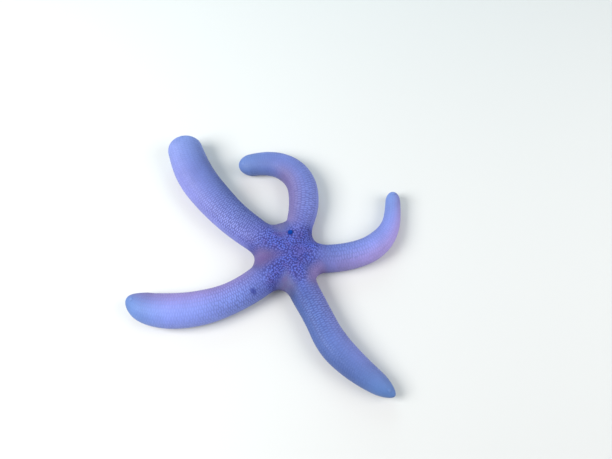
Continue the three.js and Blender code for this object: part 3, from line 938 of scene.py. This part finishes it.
def pressed_on_table(mesh):
    """Squeezes what would reach below the table into a thin layer over it, in the same order."""
    places = read_all(mesh.vertices, "co", 3)
    height, layer = places[:, 2] / MM, PRESSED_BELOW - LEAST_HEIGHT
    squeezed = LEAST_HEIGHT + layer * np.exp(np.minimum(height - PRESSED_BELOW, 0) / layer)
    places[:, 2] = np.where(height < PRESSED_BELOW, squeezed, height) * MM
    moved_to(mesh, places)


def grown(name, seeds, shape, material, **inputs):
    """Grows one piece: its points become a mesh, the tree runs on it, and the result is made plain."""
    mesh = new_mesh(name, seeds["place"] * MM, [])
    root = np.column_stack([seeds["map_place"], np.zeros(len(seeds["s"]))])
    guides = dict(facing=seeds["facing"], across=seeds["across"], size=seeds["size"] * MM, root=root)
    for key, values in guides.items():
        keep_attribute(mesh, key, values, "FLOAT_VECTOR")
    for key in MARKS:
        keep_attribute(mesh, key, seeds[key])
    points = put_in_scene(name + "_points", mesh)
    modifier = points.modifiers.new("grow", "NODES")
    modifier.node_group = COAT_TREE
    wanted = {"Shape": shape, "Material": material, **inputs}
    for item in COAT_TREE.interface.items_tree:
        if item.in_out == "INPUT" and item.name in wanted:
            modifier[item.identifier] = wanted[item.name]
    result = bpy.data.meshes.new_from_object(points.evaluated_get(bpy.context.evaluated_depsgraph_get()))
    points.modifiers.clear()
    bpy.data.objects.remove(points)
    result.name = name
    for key in USED_ONLY_TO_GROW:
        result.attributes.remove(result.attributes[key])
    pressed_on_table(result)
    result.shade_smooth()
    triangles = sum(len(face.vertices) - 2 for face in result.polygons)
    print(f"{name}: {len(seeds['s'])} shapes, {triangles} triangles")
    return put_in_scene(name, result)


print("used only to grow:", *USED_ONLY_TO_GROW)

# %% [markdown]
# ## Colour
#
# The blue of this sea star lies in the skin that covers its plates, so a plate and the skin beside it
# share one pigment. It is deep violet-blue on the disc, periwinkle on the arms and sky blue at the
# tips, pinker on some flanks and greyish in the notches. A picture could hold all that, but it would be
# tied to one view. A shader node group mixes it from the attributes, for the skin, the plates and the tips.

# %% The pigment group
DISC_BLUE = (0.069, 0.099, 0.460, 1)
ARM_BLUE = (0.180, 0.250, 0.660, 1)
TIP_BLUE = (0.175, 0.310, 0.690, 1)
BLUSH_PINK = (0.300, 0.214, 0.495, 1)
NOTCH_GREY = (0.094, 0.098, 0.190, 1)
SOLE_PALE = (0.330, 0.380, 0.620, 1)
# Between the plates: partly the skin's own deeper blue and partly painted shade.
GAP_SKIN_AND_SHADE_BLUE = (0.026, 0.027, 0.200, 1)
STAIN_BLUE = (0.031, 0.053, 0.335, 1)
PATCH_VIOLET = (0.094, 0.042, 0.200, 1)
SHADING_PAINT_POWERS = (1.5, 1.1, 0.95)  # painted shade takes red first, and painted light adds it most
# Where a smooth step begins and ends: SOLE_PALES in turns, the others in shares of an arm's length.
DISC_TO_ARM, ARM_TO_TIP, PATCHES_END = (0.05, 0.4), (0.7, 1.0), (0.3, 0.05)
SOLE_PALES, SOLE_ENDS = (-0.15, -0.7), (0.995, 0.93)
NOTCH_STRENGTH = 0.85
# How much finer the violet patches are than the mottle, then the steps as (from, to, least, most).
PATCH_DETAIL, PATCH_STEP, MOTTLE_STEP = 2.3, (0.45, 0.7, 0.0, 0.45), (0.3, 0.7, 0.86, 1.1)


def marked_by(tree, name):
    return add(tree, "ShaderNodeAttribute", attribute_name=name).outputs["Fac"]


def stepped(tree, value, low, high, least=0.0, most=1.0):
    """A smooth step from least, where the value is low, to most, where it is high."""
    return add(tree, "ShaderNodeMapRange", {
        "Value": value, "From Min": low, "From Max": high, "To Min": least, "To Max": most,
    }, interpolation_type="SMOOTHSTEP").outputs[0]


def mixed(tree, share, first, second, blend="MIX"):
    """One colour mixed into another by a share from 0 to 1."""
    mix = add(tree, "ShaderNodeMix", data_type="RGBA", blend_type=blend)
    for socket, value in ((mix.inputs[0], share), (mix.inputs[6], first), (mix.inputs[7], second)):
        if isinstance(value, bpy.types.NodeSocket):
            tree.links.new(value, socket)
        else:
            socket.default_value = value
    return mix.outputs[2]


def noise(tree, scale, detail):
    """A cloudy value on a piece's own coordinates."""
    place = add(tree, "ShaderNodeTexCoord").outputs["Object"]
    return add(tree, "ShaderNodeTexNoise", {"Vector": place, "Scale": scale, "Detail": detail}).outputs[0]


def pigment_group():
    """Blues from the markings, with painted light and shade and a mottle. It also hands on the relief."""
    tree = bpy.data.node_groups.new("star_pigment", "ShaderNodeTree")
    sockets(tree, "INPUT", {"Mottle size": ("Float", 0.014), "Mottle": ("Float", 0.35)})
    sockets(tree, "OUTPUT", {"Colour": "Color", "Relief": "Float"})
    given = add(tree, "NodeGroupInput").outputs
    out, turn, relief = (marked_by(tree, name) for name in ("out", "turn", "relief"))
    colour = mixed(tree, stepped(tree, out, *DISC_TO_ARM), DISC_BLUE, ARM_BLUE)
    colour = mixed(tree, stepped(tree, out, *ARM_TO_TIP), colour, TIP_BLUE)
    detail = maths(tree, "DIVIDE", 1.0, given["Mottle size"])
    hue = noise(tree, maths(tree, "MULTIPLY", detail, PATCH_DETAIL), 1.0)
    patches = maths(tree, "MULTIPLY", stepped(tree, hue, *PATCH_STEP), stepped(tree, out, *PATCHES_END))
    violet = maths(tree, "MAXIMUM", patches, marked_by(tree, "violet"))
    grey = maths(tree, "MULTIPLY", marked_by(tree, "notch"), NOTCH_STRENGTH)
    colour = mixed(tree, grey, colour, NOTCH_GREY)
    colour = mixed(tree, violet, colour, PATCH_VIOLET)
    colour = mixed(tree, marked_by(tree, "blush"), colour, BLUSH_PINK)
    sole = maths(tree, "MULTIPLY", stepped(tree, turn, *SOLE_PALES), stepped(tree, out, *SOLE_ENDS))
    colour = mixed(tree, sole, colour, SOLE_PALE)
    colour = mixed(tree, marked_by(tree, "stain"), colour, STAIN_BLUE)
    # Painted light and shade, as a factor that takes red first.
    painted_shading = marked_by(tree, "painted_shading")
    painted_shading_colour = combined(tree, "Color", *(maths(tree, "POWER", painted_shading, power) for power in SHADING_PAINT_POWERS))
    colour = mixed(tree, 1.0, colour, painted_shading_colour, "MULTIPLY")
    shade = combined(tree, "Color", stepped(tree, noise(tree, detail, 3.0), *MOTTLE_STEP))
    colour = mixed(tree, given["Mottle"], colour, mixed(tree, 1.0, colour, shade, "MULTIPLY"))
    add(tree, "NodeGroupOutput", {"Colour": colour, "Relief": relief})
    return tree


PIGMENT = pigment_group()
print("nodes in the pigment group:", len(PIGMENT.nodes))

# %% The grain group
GRANULE_STEP = (0.75, 0.1)  # distance from a granule's middle, in granules, at its foot and on its crown


def grain_group():
    """Fine granules, as height from 0 to 1."""
    tree = bpy.data.node_groups.new("fine_granules", "ShaderNodeTree")
    sockets(tree, "INPUT", {"Granule size": ("Float", 0.0004)})
    sockets(tree, "OUTPUT", {"Height": "Float"})
    given = add(tree, "NodeGroupInput").outputs
    detail = maths(tree, "DIVIDE", 1.0, given["Granule size"])
    place = add(tree, "ShaderNodeTexCoord").outputs["Object"]
    cells = add(tree, "ShaderNodeTexVoronoi", {"Vector": place, "Scale": detail}, feature="SMOOTH_F1")
    add(tree, "NodeGroupOutput", {"Height": stepped(tree, cells.outputs[0], *GRANULE_STEP)})
    return tree


GRAIN = grain_group()


def group(tree, used, **values):
    """Places a node group in a material with its own values, and gives its outputs."""
    named_values = {key.replace("_", " "): value for key, value in values.items()}
    return add(tree, "ShaderNodeGroup", named_values, node_tree=used).outputs


def new_material(name, roughness, **uniform):
    """A material with its Principled shader, whose uniform numbers are set on its sockets."""
    material = bpy.data.materials.new(name)
    material.use_nodes = True
    tree = material.node_tree
    shader = tree.nodes["Principled BSDF"]
    shader.inputs["Roughness"].default_value = roughness
    for key, value in uniform.items():
        shader.inputs[key.replace("_", " ")].default_value = value
    return material, tree, shader


def finish(tree, shader, colour, height, distance, strength):
    """Links a colour and a bump from a height to a material's shader."""
    bump = add(tree, "ShaderNodeBump", {"Height": height, "Distance": distance, "Strength": strength})
    tree.links.new(colour, shader.inputs["Base Color"])
    tree.links.new(bump.outputs[0], shader.inputs["Normal"])


print("nodes in the grain group:", len(GRAIN.nodes))

# %% [markdown]
# ## The finish of skin and plates
#
# The skin shows between the plates as a darker, deeper blue. That is partly its own colour and partly
# painted shade from the plates. Where the plates fade out towards the tips, it has their own colour. A
# plate is painted with shade at its foot and a highlight on its crown. Both are satin with fine granules,
# which are too small for mesh and are given as a bump.

# %% Skin and plate materials
MOTTLE = 0.5  # strength of the mottle on skin, plates and tips
GRANULE_HEIGHT, GRANULE_STRENGTH = 0.00008, 0.6
# Smooth steps as (from, to, least, most).
GAP_SHADE_ROUND = (-0.7, -0.1, 0.35, 1.0)  # how much the gaps are darkened by the turn, own colour and painted shade: less so on the sole
GAP_SHADE_RELIEF = (RELIEF_LEAST, 1.0, 0.05, 0.95)  # and by the relief
PLATE_FOOT_SHADE_CROWN_HIGHLIGHT = (0.25, 0.92, 0.53, 1.22)  # painted shade at a plate's foot up to a painted highlight on its crown
PLATE_CONTRAST = (RELIEF_LEAST, 1.0, 0.15, 1.0)  # how much of that shows, by the relief


def skin_material():
    material, tree, shader = new_material("skin_between_plates", roughness=0.62)
    pigment = group(tree, PIGMENT, Mottle=MOTTLE)
    upper = stepped(tree, marked_by(tree, "turn"), *GAP_SHADE_ROUND)
    # The gaps get darker: partly the skin's own deeper blue and partly painted shade from the plates.
    depth = maths(tree, "MULTIPLY", stepped(tree, pigment["Relief"], *GAP_SHADE_RELIEF), upper)
    colour = mixed(tree, depth, pigment["Colour"], GAP_SKIN_AND_SHADE_BLUE)
    finish(tree, shader, colour, group(tree, GRAIN)["Height"], GRANULE_HEIGHT, GRANULE_STRENGTH)
    return material


def plate_material():
    material, tree, shader = new_material("plates", roughness=0.5)
    pigment = group(tree, PIGMENT, Mottle=MOTTLE)
    # Painted shade darkens a plate's foot and a painted highlight lightens its crown, less where the relief
    # is low.
    edge = stepped(tree, marked_by(tree, "crest"), *PLATE_FOOT_SHADE_CROWN_HIGHLIGHT)
    contrast = stepped(tree, pigment["Relief"], *PLATE_CONTRAST)
    strength = add(tree, "ShaderNodeMix", {0: contrast, 2: 1.0, 3: edge}, data_type="FLOAT").outputs[0]
    colour = mixed(tree, 1.0, pigment["Colour"], combined(tree, "Color", strength), "MULTIPLY")
    finish(tree, shader, colour, group(tree, GRAIN)["Height"], GRANULE_HEIGHT, GRANULE_STRENGTH)
    return material


SKIN = skin_material()
PLATE = plate_material()
star_skin.data.materials.append(SKIN)
print("materials:", SKIN.name, PLATE.name)

# %% The plates
PLATE_SINK = 0.12  # of a plate's foot below the skin, in mm
PLATE_SHARE = np.array([1.12, 0.76])  # of its cell, across the arm and along it
DISC_PLATE_SHARE = np.array([1.06, 0.94])  # the same near the middle of the disc
PLATE_SIDES = 8
PLATE_PROFILE = [(0.5, 0.1), (0.46, 0.55), (0.36, 0.87), (0.17, 1)]
SOLE_BAND, RIDGE_BAND = -0.15, 0.45  # up to the first turn it is the sole's, beyond the other the ridge's


def as_plates(seeds):
    """Sinks the seeds to the plates' feet and gives each its size."""
    height = coat_depth(seeds["relief"]) + PLATE_SINK
    share = blend(DISC_PLATE_SHARE, PLATE_SHARE, smooth(seeds["s"], *CELLS_WIDEN)[:, None])
    sizes = np.column_stack([seeds["cell"] * share, height])
    place = seeds["place"] - seeds["facing"] * height[:, None]
    return dict(seeds, place=place, size=sizes)


plate_shape = turned_shape("plate_shape", PLATE_PROFILE, PLATE_SIDES)
all_plates = as_plates(plate_seeds)
on_disc, on_sole = all_plates["s"] < ROOT, all_plates["turn"] <= SOLE_BAND
on_ridge = all_plates["turn"] > RIDGE_BAND
in_bands = {
    "plates_disc": on_disc & ~on_sole,
    "plates_sole": on_sole,
    "plates_ridge": ~on_disc & on_ridge,
    "plates_flank": ~on_disc & ~on_sole & ~on_ridge,
}
plate_pieces = [
    grown(name, picked(all_plates, in_band), plate_shape, PLATE, Seed=seed)
    for seed, (name, in_band) in enumerate(in_bands.items(), 3)
]

# %% [markdown]
# ## The furrows underneath
#
# Along each furrow stand small limy spines that close over it, and inside it two rows of tube feet with
# suckers, on which the animal walks. One could be modelled and arrayed along a curve for each row. But
# the net's columns already run along the furrow, so points spaced along a column are enough for the
# tree, and the rows follow every bend of the arms.

# %% Rows along the furrows
THINNING, THINNING_FROM = 0.45, 0.3  # how much smaller things get by an arm's tip, and from what share on


def row_along(net, column, spacing, start, end_gap, offset):
    """Seeds at even steps along one column of a net, from a distance start to short of the furrow's end."""
    arm = ARMS[net["name"]]
    every_line = np.arange(len(net["s"]), dtype=float)
    path = read_values(net["points"], every_line, np.full(len(every_line), float(column)))
    run = np.concatenate([[0], np.cumsum(np.linalg.norm(np.diff(path, axis=0), axis=1))])
    furrow_end = arm["length"] - FURROW_END * arm["tip"] - end_gap
    last = np.interp(furrow_end, net["s"], run)
    stations = np.arange(start + offset * spacing, last, spacing)
    lines = np.interp(stations, run, every_line)
    return marked(net, read_net(net, lines, np.full(len(lines), float(column))))


def leaning(seeds, inward, down):
    """Turns seeds to point down and in towards the furrow's middle."""
    towards = seeds["across"] * (1, 1, 0)
    facing = unit(unit(towards) * inward + np.array([0, 0, -1.0]) * down)
    return dict(seeds, facing=facing, across=unit(np.cross(facing, seeds["across"])))


def sized(seeds, size):
    """Gives every seed one size, smaller towards the arm's tip."""
    fade = 1 - THINNING * smooth(seeds["out"], THINNING_FROM, 1)
    return dict(seeds, size=np.array(size) * fade[:, None])


# For each kind: the column it stands on, counted from the lip, its spacing, and the gaps that it leaves
# free at the mouth and at the furrow's end. Lean is inward and down. All but the column and the lean in mm.
SPINES = dict(column=1.6, spacing=0.82, start=0.3, end_gap=4)
FEET = dict(column=5.2, spacing=1.45, start=3.5, end_gap=9)
EDGE_PLATES = dict(column=-1.5, spacing=1.25, start=0.5, end_gap=1)
SPINE_LEAN, SPINE_SIZE = (0.75, 0.65), (0.62, 0.42, 1.15)
FOOT_LEAN, FOOT_SIZE, FOOT_RAISED = (0.12, 1), (1, 1, 1.9), 0.35
EDGE_PLATE_WIDTH = 1.5


def rows_on_all(kind, staggered=False):
    """The rows of one kind along every net. Staggered rows start half a step further on one side."""
    wanted = dict(kind, column=LIP_COLUMN + kind["column"])
    return joined([row_along(net, **wanted, offset=0.5 * (staggered and net["side"] > 0)) for net in nets])


spine_seeds = sized(leaning(rows_on_all(SPINES), *SPINE_LEAN), SPINE_SIZE)
foot_seeds = sized(leaning(rows_on_all(FEET, staggered=True), *FOOT_LEAN), FOOT_SIZE)
foot_seeds["place"] = foot_seeds["place"] + (0, 0, FOOT_RAISED)
edge_seeds = rows_on_all(EDGE_PLATES)
edge_seeds["cell"] = np.tile([EDGE_PLATE_WIDTH, EDGE_PLATES["spacing"]], (len(edge_seeds["s"]), 1))
print("spines:", len(spine_seeds["s"]), "feet:", len(foot_seeds["s"]), "edge plates:", len(edge_seeds["s"]))

# %% Spines, feet and the plates along the furrow's edge
CLOUD_SIZE, CLOUD_BUMP, CLOUD_STRENGTH = 0.0006, 0.00005, 0.5  # in metres, but for the strength
TINT_STEP = (0.1, 0.6)  # of the cloudy crest, from the deep colour to the pale one


def plain_tinted(name, deep, pale, roughness, **uniform):
    """A material that goes from a deep colour in the hollows to a pale one on the crests."""
    material, tree, shader = new_material(name, roughness, **uniform)
    cloud = noise(tree, 1 / CLOUD_SIZE, 2.0)
    share = maths(tree, "MULTIPLY", marked_by(tree, "crest"), cloud)
    colour = mixed(tree, stepped(tree, share, *TINT_STEP), deep, pale)
    finish(tree, shader, colour, cloud, CLOUD_BUMP, CLOUD_STRENGTH)
    return material


SPINE = plain_tinted("spine_lime", (0.20, 0.22, 0.45, 1), (0.50, 0.52, 0.68, 1), roughness=0.55)
FOOT = plain_tinted("tube_foot", (0.42, 0.34, 0.26, 1), (0.78, 0.70, 0.56, 1), roughness=0.35)
SPINE_PROFILE, SPINE_SIDES = [(0.5, 0), (0.46, 0.55), (0.3, 0.9), (0.12, 1)], 6
FOOT_PROFILE, FOOT_SIDES = [(0.36, 0), (0.3, 0.45), (0.33, 0.8), (0.5, 0.9), (0.42, 1)], 8
spine_shape = turned_shape("spine_shape", SPINE_PROFILE, SPINE_SIDES)
foot_shape = turned_shape("foot_shape", FOOT_PROFILE, FOOT_SIDES)
furrow_spines = grown("furrow_spines", spine_seeds, spine_shape, SPINE, Seed=11)
tube_feet = grown("tube_feet", foot_seeds, foot_shape, FOOT, Seed=12)
edge_plates = grown("edge_plates", as_plates(edge_seeds), plate_shape, PLATE, Seed=13)

# %% [markdown]
# ## The set-in pieces
#
# On the disc, beside the notch between two arms, a round plate with winding grooves lets in sea water: the
# sieve plate. Each arm ends in a limy plate with a small red eyespot below it, and a thin skin spans the
# mouth. Ready-made textures could fake the grooves and the eye's lenses. Here they are formulas on small
# round grids, so the light finds a real edge on each of them.

# %% A round grid with a formula for its height
UNSHAKEN = {"Size jitter": 0.0}  # set-in pieces keep their exact size


def round_solid(name, radius, rings, sides, height, foot):
    """A round solid whose upper side is height(radius share, angle) and whose foot is flat."""
    shares = np.sin(np.linspace(0, math.pi / 2, rings + 1))[1:]
    angles = np.arange(sides) / sides * math.tau
    grid_share, grid_angle = np.meshgrid(shares, angles, indexing="ij")
    top = np.dstack([
        radius * grid_share * np.cos(grid_angle), radius * grid_share * np.sin(grid_angle),
        height(grid_share, grid_angle),
    ]).reshape(-1, 3)
    middle_height = float(height(np.zeros((1, 1)), np.zeros((1, 1)))[0, 0])
    wall = top[-sides:] * (1, 1, 0) + (0, 0, -foot)
    points = np.concatenate([top, wall, [[0, 0, middle_height], [0, 0, -foot]]])
    faces = []
    for ring in range(rings):
        for i in range(sides):
            following = (i + 1) % sides
            first, outer = ring * sides, (ring + 1) * sides
            faces.append([first + i, outer + i, outer + following, first + following])
    middle, base = len(points) - 2, len(points) - 1
    last = rings * sides
    for i in range(sides):
        following = (i + 1) % sides
        faces.append([middle, i, following])
        faces.append([base, last + following, last + i])
    return shape_to_repeat(name, points, faces)


def dome(crown, share):
    return crown * np.sqrt(np.clip(1 - share**2, 0, 1))


def seat(net, line, column):
    """One seed for a set-in piece, at its shape's own size."""
    seeds = marked(net, read_net(net, np.array([float(line)]), np.array([float(column)])))
    return dict(seeds, size=np.ones((1, 3)))


def net_of(name, side):
    return next(net for net in nets if net["name"] == name and net["side"] == side)


print("a dome of height 1 at its middle and edge:", dome(1, np.array([0, 1])))

# %% The sieve plate
SIEVE_RADIUS, SIEVE_CROWN, SIEVE_FOOT = 1.7, 0.6, 0.8
SIEVE_SWING, SIEVE_ANGLE = 0.53, 76  # its place: how far from the notch to the root, degrees up the flank
SIEVE_RINGS, SIEVE_SIDES = 14, 88
GROOVES, GROOVE_DEPTH = 11, 0.13
SWAY, SWAY_OUTWARDS, SWAY_ROUND = 0.35, 7, 3  # how far the grooves wind, outwards and round the plate
FORK, GROOVES_BEGIN, GROOVES_END = (0.45, 0.6), (0.08, 0.3), (0.9, 1)  # in shares of the radius


def sieve_height(share, angle):
    """A low dome whose grooves wind outwards and fork half way."""
    winding = angle + SWAY * np.sin(SWAY_OUTWARDS * share + SWAY_ROUND * angle)
    groove = blend(np.cos(GROOVES * winding), np.cos(2 * GROOVES * winding), smooth(share, *FORK))
    ridge = GROOVE_DEPTH * groove * smooth(share, *GROOVES_BEGIN) * (1 - smooth(share, *GROOVES_END))
    return dome(SIEVE_CROWN, share) + ridge


sieve_shape = round_solid(
    "sieve_shape", SIEVE_RADIUS, SIEVE_RINGS, SIEVE_SIDES, sieve_height, SIEVE_FOOT,
)
sieve_line = SIEVE_SWING * DISC_LINES
sieve_column = (1 - SIEVE_ANGLE / 90) * FLANK_STEPS
sieve_seed = seat(net_of("arm_top", 1), sieve_line, sieve_column)
SIEVE_DEEP, SIEVE_PALE = (0.001, 0.036, 0.28, 1), (0.002, 0.118, 0.62, 1)
SIEVE = plain_tinted("sieve_plate", SIEVE_DEEP, SIEVE_PALE, roughness=0.75, Specular_IOR_Level=0.15)
sieve_plate = grown("sieve_plate_piece", sieve_seed, sieve_shape, SIEVE, **UNSHAKEN)
print("off the CAD's place in mm:", np.linalg.norm(sieve_seed["place"][0] - sieve_place).round(2))

# %% The plates and eyespots at the tips
TIP_PLATE_ANGLE, TIP_PLATE_RADIUS, TIP_PLATE_CROWN, TIP_PLATE_FOOT = 50, 1.4, 0.34, 0.7
EYESPOT_ANGLE, EYESPOT_RADIUS, EYESPOT_CROWN, EYESPOT_FOOT = 58, 0.6, 0.5, 0.4
SMALL_RINGS, TIP_PLATE_SIDES, EYESPOT_SIDES = 8, 36, 30
# Grains and lenses: their height in mm, how many stand round the middle and how many half waves outwards.
GRAIN_HEIGHT, GRAINS_ROUND, GRAINS_OUTWARDS, GRAINS_BEGIN = 0.05, 9, 3, (0.1, 0.4)
LENS_HEIGHT, LENSES_ROUND, LENSES_OUTWARDS = 0.06, 6, 2.5
EDGE_CALM = (0.85, 1)  # shares of the radius over which both end


def tip_plate_height(share, angle):
    """A dome set with blunt grains."""
    grains = GRAIN_HEIGHT * np.cos(GRAINS_ROUND * angle) * np.sin(GRAINS_OUTWARDS * math.pi * share)
    grains = grains * smooth(share, *GRAINS_BEGIN)
    return dome(TIP_PLATE_CROWN, share) + grains * (1 - smooth(share, *EDGE_CALM))


def eye_height(share, angle):
    """A cushion of small lenses."""
    lenses = LENS_HEIGHT * np.cos(LENSES_ROUND * angle) * np.sin(LENSES_OUTWARDS * math.pi * share) ** 2
    return dome(EYESPOT_CROWN, share) + lenses * (1 - smooth(share, *EDGE_CALM))


def at_tips(angle, column):
    """Seeds at this angle round the rounding of each arm's end."""
    seeds = []
    for name in NAMES:
        net, arm = net_of(name, 1), ARMS[name]
        s_there = arm["length"] - arm["tip"] * (1 - math.cos(math.radians(angle)))
        seeds.append(seat(net, np.interp(s_there, net["s"], np.arange(len(net["s"]))), column))
    return joined(seeds)


tip_shape = round_solid(
    "tip_shape", TIP_PLATE_RADIUS, SMALL_RINGS, TIP_PLATE_SIDES, tip_plate_height, TIP_PLATE_FOOT,
)
eye_shape = round_solid("eye_shape", EYESPOT_RADIUS, SMALL_RINGS, EYESPOT_SIDES, eye_height, EYESPOT_FOOT)
TIP_LIME, TIP_LIME_STRENGTH, TIP_LIME_STEP = (0.34, 0.44, 0.72, 1), 0.1, (0.1, 0.35)
TIP_GRANULE, TIP_GRANULE_STRENGTH = 0.0006, 0.8


def tip_material():
    """The skin's own pigment with bare lime on the grains."""
    material, tree, shader = new_material("tip_lime", roughness=0.65)
    pigment = group(tree, PIGMENT, Mottle=MOTTLE)
    grain = group(tree, GRAIN, Granule_size=TIP_GRANULE)
    on_crest = stepped(tree, marked_by(tree, "crest"), *TIP_LIME_STEP)
    colour = mixed(tree, maths(tree, "MULTIPLY", on_crest, TIP_LIME_STRENGTH), pigment["Colour"], TIP_LIME)
    finish(tree, shader, colour, grain["Height"], GRANULE_HEIGHT, TIP_GRANULE_STRENGTH)
    return material


TIP = tip_material()
EYE = plain_tinted("eye_red", (0.20, 0.010, 0.006, 1), (0.60, 0.050, 0.020, 1), roughness=0.25)
tip_plates = grown("tip_plates", at_tips(TIP_PLATE_ANGLE, 0), tip_shape, TIP, **UNSHAKEN)
eyespots = grown("eyespots", at_tips(EYESPOT_ANGLE, LIP_COLUMN), eye_shape, EYE, **UNSHAKEN)

# %% The skin of the mouth
MOUTH_OUTER, MOUTH_INNER, MOUTH_LEVEL, MOUTH_THICKNESS, MOUTH_DISH = 3.6, 1.3, 2.1, 0.7, 0.8
MOUTH_SIDES, MOUTH_RINGS, MOUTH_FOLDS, FOLD_DEPTH, FOLD_INWARD = 120, 16, 24, 0.16, 0.6
MOUTH_CREST = (0.6, 0.4)  # the middle and the swing of its crest, which makes the side facing down paler


def mouth_ring():
    """A dished ring of skin, thin at its outer edge and folded towards the opening."""
    angles = np.arange(MOUTH_SIDES) / MOUTH_SIDES * math.tau
    course = np.linspace(0, math.tau, MOUTH_RINGS + 1)[:-1]
    rings = []
    for turn in course:
        inward = 0.5 - 0.5 * math.cos(turn)
        radius = blend(MOUTH_OUTER, MOUTH_INNER, inward)
        level = MOUTH_LEVEL + MOUTH_DISH * inward**2 + MOUTH_THICKNESS / 2 * (1 - math.sin(turn))
        folds = FOLD_DEPTH * inward * np.cos(MOUTH_FOLDS * angles)
        plan = CENTRE + direction(angles) * (radius + folds[:, None] * FOLD_INWARD)
        rings.append(np.column_stack([plan, level + folds]))
    points = np.arange(MOUTH_RINGS * MOUTH_SIDES).reshape(MOUTH_RINGS, MOUTH_SIDES)
    beyond = np.roll(points, -1, 0)
    faces = np.stack([points, np.roll(points, -1, 1), np.roll(beyond, -1, 1), beyond], -1).reshape(-1, 4)
    mesh = new_mesh("mouth_membrane", np.concatenate(rings) * MM, faces.tolist())
    mesh.shade_smooth()
    middle, swing = MOUTH_CREST
    keep_attribute(mesh, "crest", np.repeat(middle + swing * np.sin(course), MOUTH_SIDES))
    return put_in_scene("mouth_membrane", mesh)


mouth_membrane = mouth_ring()
MEMBRANE = plain_tinted("mouth_skin_folds", (0.30, 0.22, 0.22, 1), (0.62, 0.50, 0.44, 1), roughness=0.4)
mouth_membrane.data.materials.append(MEMBRANE)
print("mouth membrane:", len(mouth_membrane.data.polygons), "faces")

# %% [markdown]
# ## Camera, floor and light
#
# The animal is seen from above and a little in front. The floor is a plain pale table. Two large soft
# lamps at the sides, a cool one behind and an even sky show the colours without hard shadows, as the
# lights of a museum would.

# %% Studio
CAMERA_ELEVATION, CAMERA_DISTANCE, CAMERA_LENS = math.radians(68), 0.42, 35
SENSOR_WIDTH, CLIP_START = 36, 0.01
AIM = Vector((*(CENTRE + (12.42, 20.22)), 9.0)) * MM
FLOOR_REACH, FLOOR_PALE = 3, (0.72, 0.72, 0.70, 1)
SKY_COLOUR, SKY_STRENGTH = (0.92, 0.95, 1.0, 1), 0.38


def looking_along(way):
    return way.to_track_quat("-Z", "Y").to_euler()


camera = put_in_scene("camera", bpy.data.cameras.new("camera"))
camera.data.lens = CAMERA_LENS
camera.data.sensor_width = SENSOR_WIDTH
camera.data.clip_start = CLIP_START
back = Vector((0, -math.cos(CAMERA_ELEVATION), math.sin(CAMERA_ELEVATION)))
camera.location = AIM + back * CAMERA_DISTANCE
camera.rotation_euler = looking_along(-back)
bpy.context.scene.camera = camera


def soft_lamp(name, place, size, power, colour=(1, 1, 1)):
    lamp = put_in_scene(name, bpy.data.lights.new(name, "AREA"))
    lamp.data.size = size
    lamp.data.energy = power
    lamp.data.color = colour
    lamp.location = place
    lamp.rotation_euler = looking_along(AIM - Vector(place))


soft_lamp("key", place=(-0.5, -0.08, 0.5), size=0.4, power=5.5)
soft_lamp("fill", place=(0.6, -0.05, 0.5), size=0.5, power=2.8)
soft_lamp("rim", place=(-0.05, 0.75, 0.34), size=0.5, power=1.9, colour=(0.5, 0.88, 1.0))

world = bpy.data.worlds.new("sky")
world.use_nodes = True
world.node_tree.nodes["Background"].inputs["Color"].default_value = SKY_COLOUR
world.node_tree.nodes["Background"].inputs["Strength"].default_value = SKY_STRENGTH
bpy.context.scene.world = world
bpy.context.scene.view_settings.view_transform = "Standard"

floor_corners = np.array([(-1, -1, 0), (1, -1, 0), (1, 1, 0), (-1, 1, 0)]) * FLOOR_REACH
floor = put_in_scene("floor", new_mesh("floor", floor_corners, [(0, 1, 2, 3)]))
floor.data.materials.append(new_material("pale_table", roughness=0.8, Base_Color=FLOOR_PALE)[0])
print("camera at", [round(v, 3) for v in camera.location])

# %% [markdown]
# ## What each piece stands for
#
# The solids stay hidden for touch and weight, and the pieces made here are what is seen. Each piece could
# be joined into one object, but the sieve plate, the tips and the mouth have finishes of their own. So
# the solids are hidden, the pieces are listed in groups, and all ride on the one still body.

# %% Handing over to the frame
FLESH = ["disc"] + [f"{arm}_{length}" for arm in NAMES for length in ("base", "middle", "outer")]
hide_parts(*FLESH)
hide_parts("madreporite")
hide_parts(*(f"{arm}_tip_plate" for arm in NAMES))
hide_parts(*(f"{arm}_eyespot" for arm in NAMES))
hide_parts("mouth_skin")
SLOTS = {
    "skin": (star_skin, *plate_pieces, edge_plates, furrow_spines, tube_feet),
    "sieve_plate": (sieve_plate,),
    "tip_plate": (tip_plates,),
    "eyespot": (eyespots,),
    "mouth": (mouth_membrane,),
}
for slot, pieces in SLOTS.items():
    for piece in pieces:
        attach(piece, "root")
